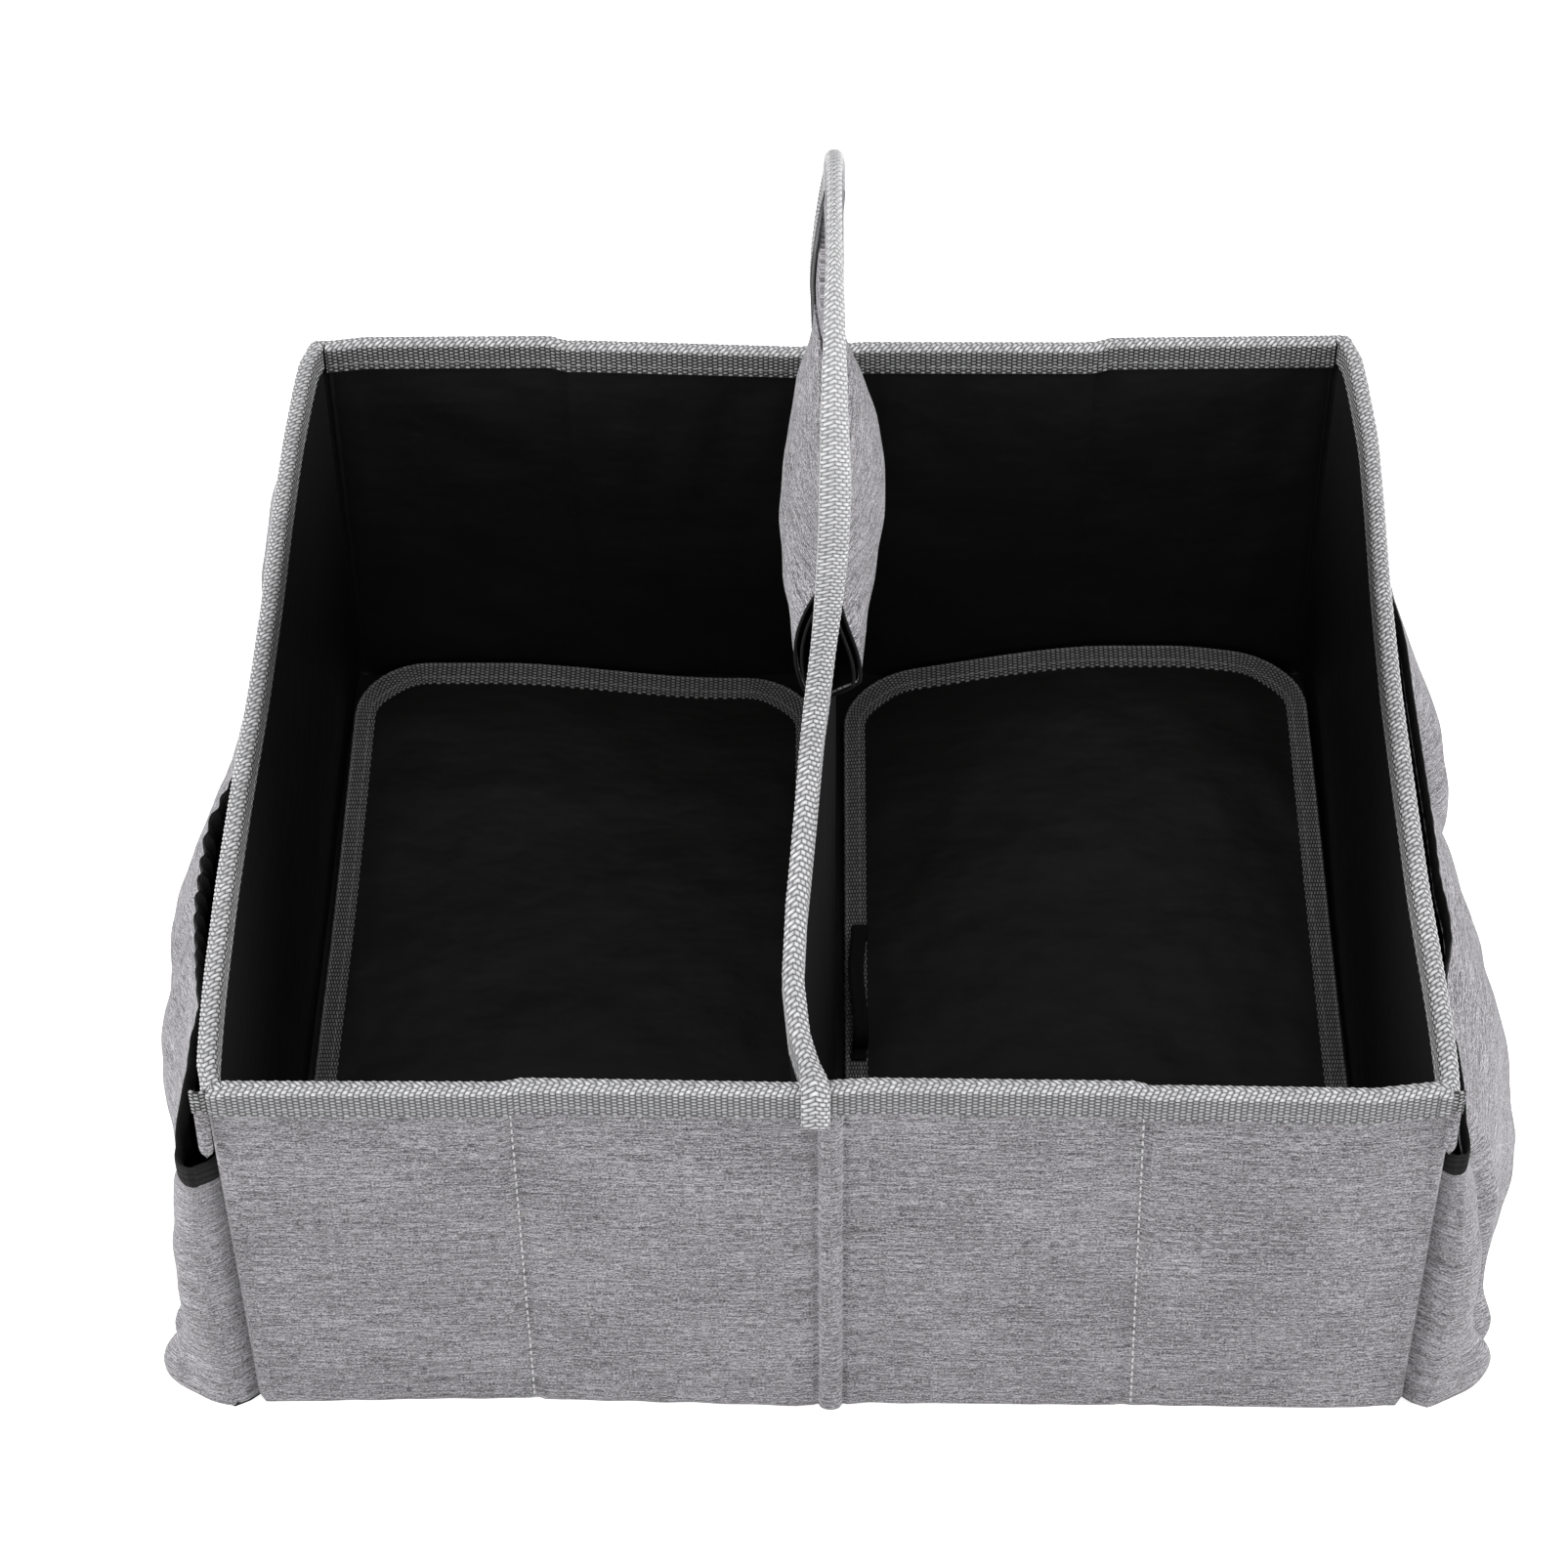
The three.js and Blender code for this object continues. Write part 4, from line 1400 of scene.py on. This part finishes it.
class CADDY_OT_divider(bpy.types.Operator):
    """Adds the divider with its handle cloth, its webbing, the two ribs and the divider pockets"""

    bl_idname = "caddy.divider"
    bl_label = "Divider and handle"

    def execute(self, context):
        make_divider_lining()
        make_divider_board()
        make_handle_cloth()
        make_divider_binding()
        for face in (FRONT, BACK):
            make_rib_webbing(face)
        for face in (FRONT, BACK):
            make_rib(face)
        for side in (LEFT, RIGHT):
            make_divider_pocket(side)
        return {"FINISHED"}


# Floor boards

board_crease = folds(47, 18, 0.03, 0.12)
board_fine = folds(53, 14, 0.012, 0.03)


def board_route(side, inset=0.0):
    """The rounded outline of a floor board, and its middle."""
    low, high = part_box("right_floor_binding")
    radius = 0.028 - inset
    x0, x1, y0, y1 = low.x + inset, high.x - inset, low.y + inset, high.y - inset
    line = [[x1, 0]]
    line += arc((x1 - radius, y1 - radius), radius, 0, 90)
    line += arc((x0 + radius, y1 - radius), radius, 90, 180)
    line += arc((x0 + radius, y0 + radius), radius, 180, 270)
    line += arc((x1 - radius, y0 + radius), radius, 270, 360)
    line += [[x1, 0]]
    if side == LEFT:
        line = [[-x, y] for x, y in line[::-1]]
    return Route(line), side * (x0 + x1) / 2


def board_lift(side, x, y):
    """How far a floor board has warped off the floor at a place."""
    out = side * x
    if side == RIGHT:
        across = sizes().board_warp * smooth(-0.01, 0.11, out) * (1 - 0.3 * smooth(0.13, 0.18, out))
        return across * smooth(-0.05, 0.17, y)
    return 0.47 * sizes().board_warp * smooth(0.04, 0.13, out) * smooth(0.02, 0.17, y)


def make_floor_board(side):
    """A floor board's cloth, its webbing and its pull loop."""
    name = f"{SIDE_NAMES[side]}_floor"
    body = f"{name}_board"
    low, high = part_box(f"{name}_binding")
    route, middle = board_route(side, 0.0012)
    top = high.z - 0.0007

    def place(s, t):
        x, y = route.at(s)
        share = 1 - (1 - t) ** 0.85
        x, y = middle + (x - middle) * share, y * share
        wrinkle = 0.0011 * board_crease(x, y) + 0.0005 * board_fine(y, x)
        puff = (0.0006 + 0.5 * wrinkle) * smooth(1.0, 0.82, share)
        return x, y, top + puff + board_lift(side, x, y)

    def pattern(s, t):
        x, y, _ = place(s, t)
        return x, y

    pad = sheet(f"{name}_cushion", 200, 48, lambda s, t: place(s, 1 - t), lambda s, t: pattern(s, 1 - t))
    weld(pad, 0.00001, upward=True)
    thicken(pad, 0.0024)
    close_up(pad)
    dress(pad, "board_cloth", body, [f"{name}_pad"])

    edge, _ = board_route(side)
    flange = 0.0122
    section = edge_section(high.z - low.z, flange, flange, 0.0016, 0.0006)

    def over_edge(s, across, above):
        x, y = edge.at(s)
        right, forward = edge.normal(s)
        reach = above * (0.68 + 0.32 * smooth(high.y - 0.03, high.y - 0.006, y))
        x, y = x + right * reach, y + forward * reach
        return x, y, (high.z + low.z) / 2 + across + board_lift(side, x, y)

    binding = webbing(f"{name}_webbing", section, edge.length, over_edge, free_ends=True, step=0.0008)
    dress(binding, "board_webbing", body, [f"{name}_binding"], WEBBING_ANGLE)
    make_pull_loop(name, body)


def make_pull_loop(name, body):
    """The black strap that lifts a floor board."""
    low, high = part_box(f"{name}_loop")
    seat, rise = low.z + 0.0004, high.z - low.z - 0.001
    half = high.y - 0.001
    line = [[-half, seat], [-half + 0.006, seat + 0.0004]]
    line += curve((-half + 0.006, seat + 0.0006), (-half - 0.002, seat + rise * 1.1), (-0.012, seat + rise),
                  (0.002, seat + rise * 0.96), 16)
    line += curve((0.002, seat + rise * 0.96), (0.02, seat + rise * 0.9), (half + 0.001, seat + rise * 0.9),
                  (half - 0.006, seat + 0.0006), 16)
    line += [[half - 0.006, seat + 0.0004], [half, seat]]
    route = Route(line)
    middle, reach = (low.x + high.x) / 2, (high.x - low.x) / 2

    def place(s, t):
        y, z = route.at(s)
        right, down = route.normal(s)
        around = t * 2 * math.pi
        wide, thick = reach * 0.95, 0.0007
        off = thick * np.sin(around)
        x = middle + wide * squarer(np.cos(around), 0.4) + 0.0008 * np.sin(s * 9)
        return x, y - right * off, z - down * off

    loop = sheet(f"{name}_strap", 90, 20, place, lambda s, t: (s * route.length, t * 0.012))
    close_up(loop)
    dress(loop, "elastic", body, [f"{name}_loop"])


class CADDY_OT_floor(bpy.types.Operator):
    """Adds the two floor boards with their webbing and pull loops, and the base cloth"""

    bl_idname = "caddy.floor"
    bl_label = "Floor boards"

    def execute(self, context):
        for side in (LEFT, RIGHT):
            make_floor_board(side)
            make_base_cloth(side)
        return {"FINISHED"}


def make_base_cloth(side):
    """Half of the cloth under the boards."""
    low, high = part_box("base_cloth")
    reach = high.x + 0.0024
    crumple = folds(5, 10, 0.03, 0.1)

    def place(s, t):
        x = (s * reach) if side == RIGHT else (s - 1) * reach
        y = low.y + (high.y - low.y) * t
        return x, y, high.z - 0.0002 + 0.0001 * crumple(x, y)

    name = f"{SIDE_NAMES[side]}_base_sheet"
    piece = sheet(name, 60, 60, place, lambda s, t: (s * reach, t * high.y * 2))
    thicken(piece, LINING_LAYER)
    dress(piece, "lining", "core", ["base_cloth"])
    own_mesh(piece)


# Outer pouches

# Per end wall, from front to back: the pouch seams, the depth of the gathers at the mouth,
# the ear behind the foot of the front corner and where it starts, the reach of the cloth's curve at its foot,
# low and high, how far the bellies and then the mouths stand out, how high the mouths are, and how far the
# rolled cloth at the front corner stands out at ROLL_HEIGHTS.
POUCHES = {
    RIGHT: {
        "seams": (-0.1765, 0.0, 0.1765), "gather": 0.0003, "ear": 0.0192, "ear_start": -0.174,
        "reach": (0.01, 0.0425, 0.0475),
        "belly": {
            -0.166: 0.012, -0.153: 0.0275, -0.143: 0.0312, -0.132: 0.036, -0.122: 0.0386, -0.111: 0.0402,
            -0.1: 0.0398, -0.089: 0.0386, -0.067: 0.0366, -0.055: 0.0359, -0.044: 0.0333, -0.032: 0.0295,
            -0.02: 0.0222, -0.008: 0.0125, 0.0: 0.0062, 0.007: 0.0035, 0.0135: 0.0045, 0.019: 0.014,
            0.026: 0.027, 0.033: 0.0325, 0.041: 0.0328, 0.054: 0.03, 0.067: 0.0262, 0.08: 0.0213,
            0.093: 0.02, 0.107: 0.0179, 0.148: 0.0165, 0.165: 0.012, 0.1765: 0.0,
        },
        "stand": {
            -0.1765: 0.0008, -0.174: 0.0035, -0.168: 0.0058, -0.155: 0.0052, -0.13: 0.0036, -0.114: 0.0046,
            -0.101: 0.0072, -0.09: 0.0075, -0.075: 0.0064, -0.052: 0.0068, 0.01: 0.0066, 0.033: 0.0068,
            0.058: 0.0052, 0.09: 0.0042, 0.14: 0.004, 0.17: 0.002, 0.1765: 0.0,
        },
        "rise": {
            -0.1765: 0.121, -0.172: 0.1225, -0.167: 0.127, -0.158: 0.135, -0.146: 0.14, 0.165: 0.14,
            0.1765: 0.13,
        },
        "roll": (0.0142, 0.0166, 0.0188, 0.0118, 0.005),
    },
    LEFT: {
        "seams": (-0.1765, -0.07, 0.068, 0.1765), "gather": 0.0016, "ear": 0.0168, "ear_start": -0.1715,
        "reach": (0.027, 0.045, 0.045),
        "belly": {
            -0.166: 0.012, -0.153: 0.0198, -0.132: 0.0194, -0.122: 0.0233, -0.111: 0.0267, -0.1: 0.0309,
            -0.089: 0.0345, -0.078: 0.0335, -0.07: 0.0275, -0.064: 0.031, -0.055: 0.037, -0.044: 0.0376,
            -0.032: 0.0393, -0.02: 0.0374, -0.008: 0.0346, 0.004: 0.0281, 0.016: 0.0247, 0.029: 0.0206,
            0.041: 0.0205, 0.054: 0.018, 0.062: 0.014, 0.068: 0.006, 0.076: 0.014, 0.09: 0.017, 0.107: 0.0187,
            0.134: 0.0215, 0.148: 0.0255, 0.163: 0.0235, 0.172: 0.012, 0.1765: 0.0,
        },
        "stand": {
            -0.1765: 0.001, -0.174: 0.0072, -0.171: 0.012, -0.166: 0.0127, -0.16: 0.0104, -0.152: 0.0085,
            -0.13: 0.0078, -0.118: 0.0093, -0.106: 0.0108, -0.096: 0.0122, -0.086: 0.0131, -0.069: 0.0132,
            -0.052: 0.0133, -0.041: 0.0102, -0.025: 0.0066, 0.0: 0.0064, 0.0175: 0.0072, 0.04: 0.0058,
            0.07: 0.0062, 0.122: 0.0075, 0.15: 0.006, 0.17: 0.003, 0.1765: 0.0,
        },
        "rise": {
            -0.1765: 0.119, -0.173: 0.1165, -0.169: 0.1185, -0.164: 0.126, -0.156: 0.135, -0.146: 0.14,
            0.165: 0.14, 0.1765: 0.13,
        },
        "roll": (0.0212, 0.0196, 0.0206, 0.016, 0.0085),
    },
}
ROLL_HEIGHTS = (0.003, 0.027, 0.069, 0.112, 0.13)
ROLL_PLACE, ROLL_REACH = -0.1664, 0.0087
EAR_PLACE = -0.159
BELLY_LOW, BELLY_HIGH, BELLY_FULL = 0.02, 0.092, 0.0395
FOOT_SHARE, FOOT_HEIGHT = 0.14, 0.0012
POUCH_LIFT = 0.0012
ELASTIC_HEIGHT = 0.010
pouch_crease = folds(61, 16, 0.02, 0.1)


def mouth_height(side, y):
    """The height of the pouches' mouths: drawn down at the two corners."""
    return soft_line(POUCHES[side]["rise"], 0.004)(y)


def gather(side, y):
    """The small folds that the elastic draws into the cloth."""
    amount = POUCHES[side]["gather"] * (0.15 + np.exp(-(((y + 0.068) / 0.045) ** 2)))
    wave = y * 2 * math.pi / sizes().gather_pitch
    return amount * np.sin(wave + 1.2 * np.sin(y * 61) + 0.5 * np.sin(y * 173))


def pouch_point(side, y, up):
    """A point of the pouch cloth, by its place along the end wall and its share of the way up the cloth."""
    pouches = POUCHES[side]
    far = soft_line(pouches["stand"], 0.004)(y)
    mouth = mouth_height(side, y)
    t = np.clip((up - FOOT_SHARE) / (1 - FOOT_SHARE), 0, 1)
    a, b, c, d = (1 - t) ** 3, 3 * (1 - t) ** 2 * t, 3 * (1 - t) * t**2, t**3
    foot_reach, low_reach, high_reach = pouches["reach"]
    full = soft_line(pouches["belly"], 0.005)(y) / BELLY_FULL
    z = a * FOOT_HEIGHT + b * BELLY_LOW + c * BELLY_HIGH + d * mouth
    under = np.clip(up / FOOT_SHARE, 0, 1)
    z = np.where(up < FOOT_SHARE, FOOT_HEIGHT, z)
    behind = smooth(ROLL_PLACE - 0.001, ROLL_PLACE + 0.014, y)
    belly = (a * foot_reach + b * low_reach + c * high_reach) * full * behind + d * far
    inside = np.clip(1 - ((y - ROLL_PLACE) / ROLL_REACH) ** 2, 0, 1)
    roll = np.interp(z, ROLL_HEIGHTS, pouches["roll"]) * inside**0.45
    beside = smooth(pouches["ear_start"], EAR_PLACE, y) * np.exp(-((positive(y - EAR_PLACE) / 0.013) ** 2))
    ear = pouches["ear"] * beside * np.exp(-(((z - 0.009) / 0.02) ** 2))
    wall_bow = end_bow(side, y) * (0.3 + 0.7 * z / rim_height)
    reach = positive(np.maximum(belly, roll) + ear - wall_bow) * np.where(up < FOOT_SHARE, under, 1)
    play = 0.3 * gather(side, y) * smooth(0.55, 1.0, up) ** 1.5
    play = play + 0.0013 * pouch_crease(y, z * 1.3) * np.sin(math.pi * up)
    close = np.clip(reach / 0.005, 0, 1)
    out = half_width - 0.0035 + (POUCH_LIFT + 0.0023) * close + reach + play * close
    crevice = 0.0055 * (1 - smooth(0.0, 0.004, reach)) - 0.0028 * smooth(0.003, 0.008, reach)
    return end_point(side, out, y + crevice * smooth(-0.156, -0.168, y), z)


def pouch_run(side, s):
    """Places along the end wall, closer together near the pouch seams, left to right as seen from outside."""
    seams = POUCHES[side]["seams"][::side]
    count = len(seams) - 1
    part = np.clip((s * count).astype(int), 0, count - 1)
    share = (1 - np.cos(math.pi * (s * count - part))) / 2
    share = share * 0.6 + (s * count - part) * 0.4
    seams = np.array(seams)
    return between(seams[part], seams[part + 1], share)


def make_end_pocket(side):
    """The gathered pocket cloth outside an end wall, and the elastic along its mouth."""
    name = f"{SIDE_NAMES[side]}_end"

    def place(s, t):
        return pouch_point(side, pouch_run(side, s), t)

    piece = sheet(f"{name}_pouch_cloth", 380, 72, place)
    # Painted shade: the pouch's inner face takes the black lining, so the inside of its mouth looks dark.
    thicken(piece, 0.0009, painted_shade_inside=True)
    dress(piece, "heather", name, [f"{name}_pocket"])

    def band(s, t):
        y = pouch_run(side, s)
        around = t * 2 * math.pi
        thick, tall = 0.0007, ELASTIC_HEIGHT / 2
        x, forward, _ = pouch_point(side, y, np.ones_like(y))
        up = tall * squarer(np.sin(around), 0.5)
        fold = positive(-np.cos(around)) * np.abs(gather(side, y) + 0.6 * POUCHES[side]["gather"])
        out = x + side * (thick * np.cos(around) - fold)
        return out, forward, mouth_height(side, y) + tall - 0.0008 + up + 0.3 * gather(side, y)

    make_corner_tongue(side)
    elastic = sheet(f"{name}_pouch_elastic", 420, 20, band, lambda s, t: (pouch_run(side, s), t * 0.022))
    close_up(elastic)
    dress(elastic, "elastic", name, [f"{name}_elastic"])


# The loose ends at the front corners: how far out their middle is, the height of their foot, their breadth
TONGUES = {LEFT: (0.1909, 0.1345, 0.0045), RIGHT: (0.1893, 0.1363, 0.004)}
TONGUE_DEPTH = 0.0006


def make_corner_tongue(side):
    """The loose end of cloth that hangs at the front corner, and the tab of webbing over it."""
    middle, foot, wide = TONGUES[side]
    joint, top = 0.1535, rim_height - 0.0015

    def strip(start, end, wide, round_end):
        def place(s, t):
            s, t = (s if side == RIGHT else 1 - s), 1 - t
            narrow = np.sqrt(np.clip(1 - (positive(t - 0.8) / 0.2) ** 2, 0, 1)) if round_end else 1.0
            curl = 0.0012 * np.cos((s - 0.5) * 2.4)
            x = middle + (s - 0.5) * wide * narrow
            return side * x, TONGUE_DEPTH - half_depth - curl - 0.0014 * t * round_end, between(start, end, t)

        return place

    def tab_pattern(s, t):
        return s * 0.0058, 0.0046 + t * 0.0095

    name = SIDE_NAMES[side]
    pieces = (
        ("corner_tongue", strip(joint + 0.002, foot, wide, True), "heather", None),
        ("corner_tab", strip(top, joint, wide + 0.001, False), "webbing", tab_pattern),
    )
    for what, place, key, pattern in pieces:
        piece = sheet(f"{name}_{what}", 12, 20, place, pattern)
        thicken(piece, 0.0009)
        dress(piece, key, f"{name}_end")


class CADDY_OT_pouches(bpy.types.Operator):
    """Adds the gathered pockets outside the end walls, with their elastic"""

    bl_idname = "caddy.pouches"
    bl_label = "Outer pouches"

    def execute(self, context):
        for side in (LEFT, RIGHT):
            make_end_pocket(side)
        return {"FINISHED"}


# Stage

PHOTO_WIDTH = 1605
FOCAL_PIXELS = 3988
MIDDLE_COLUMN, MIDDLE_ROW = 850, 804
CAMERA_PLACE = (0.0, -0.9329, 1.0671)
CAMERA_LOOK = (0.0, 0.6997, -0.7145)


def seen_ray(shader):
    """1 for the rays that show the stage: from the camera, in a shine or through something clear."""
    camera = shader.node("ShaderNodeLightPath", (), (), "Is Camera Ray")
    rays = camera.socket.node.outputs
    shine, through = (Signal(shader, rays[f"Is {kind} Ray"]) for kind in ("Glossy", "Transmission"))
    return camera.at_least(shine).at_least(through)


def light_the_world(world):
    """A white world to look at, that lights the object more softly than it looks."""
    shader = Shader(world)
    soft = shader.node("ShaderNodeBackground", (), {"Color": (1, 1, 1, 1), "Strength": 0.3})
    bright = shader.node("ShaderNodeBackground", (), {"Color": (1, 1, 1, 1), "Strength": 1.0})
    both = shader.node("ShaderNodeMixShader", (), {0: seen_ray(shader), 1: soft, 2: bright})
    shader.shown(both, "ShaderNodeOutputWorld")


def stage_material(name, base, glow):
    """A plain pale surface that the camera sees nearly white, with the object's shadow on it."""
    shader = Shader(name)
    seen = seen_ray(shader)
    plain = shader.node("ShaderNodeBsdfDiffuse", (), {"Color": (*base, 1)})
    shine = shader.node("ShaderNodeEmission", (), {"Color": (1, 1, 1, 1), "Strength": glow})
    both = shader.node("ShaderNodeAddShader", (), {0: plain, 1: shine})
    return shader.shown(shader.node("ShaderNodeMixShader", (), {0: seen, 1: plain, 2: both}))


LAMP_TARGET = (0, 0, 0.1)
LAMPS = (
    ("overhead_lamp", (0.0, 0.1, 1.9), 1.5, 8),
    ("front_lamp", (0.0, -2.2, 1.3), 1.4, 20),
    ("left_lamp", (-2.2, -0.4, 1.0), 1.4, 63),
    ("right_lamp", (2.2, -0.4, 1.0), 1.4, 62),
)


def add_lamp(name, place, size, power):
    """A round soft lamp that points at the caddy."""
    lamp = bpy.data.lights.new(name, "AREA")
    lamp.shape = "DISK"
    lamp.size = size
    lamp.energy = power
    holder = bpy.data.objects.new(name, lamp)
    bpy.context.scene.collection.objects.link(holder)
    holder.location = place
    holder.rotation_euler = (Vector(LAMP_TARGET) - Vector(place)).to_track_quat("-Z", "Y").to_euler()


class CADDY_OT_stage(bpy.types.Operator):
    """Adds the camera, the soft lamps, the world and the plain floor"""

    bl_idname = "caddy.stage"
    bl_label = "Camera and stage"

    def execute(self, context):
        scene = context.scene
        scene.view_settings.view_transform = "Standard"
        camera = bpy.data.cameras.new("photo_camera")
        camera.sensor_width = 36
        camera.lens = camera.sensor_width * FOCAL_PIXELS / PHOTO_WIDTH
        camera.shift_x = (PHOTO_WIDTH / 2 - MIDDLE_COLUMN) / PHOTO_WIDTH
        camera.shift_y = (MIDDLE_ROW - PHOTO_WIDTH / 2) / PHOTO_WIDTH
        holder = bpy.data.objects.new("photo_camera", camera)
        scene.collection.objects.link(holder)
        holder.location = CAMERA_PLACE
        holder.rotation_euler = Vector(CAMERA_LOOK).to_track_quat("-Z", "Y").to_euler()
        scene.camera = holder

        bpy.ops.object.select_all(action="DESELECT")
        bpy.ops.mesh.primitive_plane_add(size=30, location=(0, 0, -0.0004))
        floor = context.object
        floor.name = "studio_floor"
        floor.data.materials.append(stage_material("studio_floor", (0.8, 0.8, 0.8), 0.75))

        world = bpy.data.worlds.new("studio")
        scene.world = world
        light_the_world(world)
        for lamp in LAMPS:
            add_lamp(*lamp)
        return {"FINISHED"}


class CADDY_PT_panel(bpy.types.Panel):
    """Lists the caddy's pieces and its sizes and colours"""

    bl_idname = "CADDY_PT_panel"
    bl_label = "Fabric caddy"
    bl_space_type = "VIEW_3D"
    bl_region_type = "UI"
    bl_category = "Caddy"

    def draw(self, context):
        for operator in OPERATORS:
            self.layout.operator(operator.bl_idname)
        for group in (context.scene.caddy_sizes, context.scene.caddy_colours):
            box = self.layout.box()
            for key in group.__annotations__:
                box.prop(group, key)


OPERATORS = (
    CADDY_OT_stage,
    CADDY_OT_long_walls,
    CADDY_OT_end_walls,
    CADDY_OT_divider,
    CADDY_OT_floor,
    CADDY_OT_pouches,
    CADDY_OT_seams,
)
CLASSES = (CaddySizes, CaddyColours, *OPERATORS, CADDY_PT_panel)


def register():
    for cls in CLASSES:
        bpy.utils.register_class(cls)
    bpy.types.Scene.caddy_sizes = bpy.props.PointerProperty(type=CaddySizes)
    bpy.types.Scene.caddy_colours = bpy.props.PointerProperty(type=CaddyColours)


def unregister():
    del bpy.types.Scene.caddy_colours
    del bpy.types.Scene.caddy_sizes
    for cls in reversed(CLASSES):
        bpy.utils.unregister_class(cls)


def main():
    register()
    for operator in OPERATORS:
        area, action = operator.bl_idname.split(".")
        getattr(getattr(bpy.ops, area), action)()


if __name__ == "__main__":
    main()
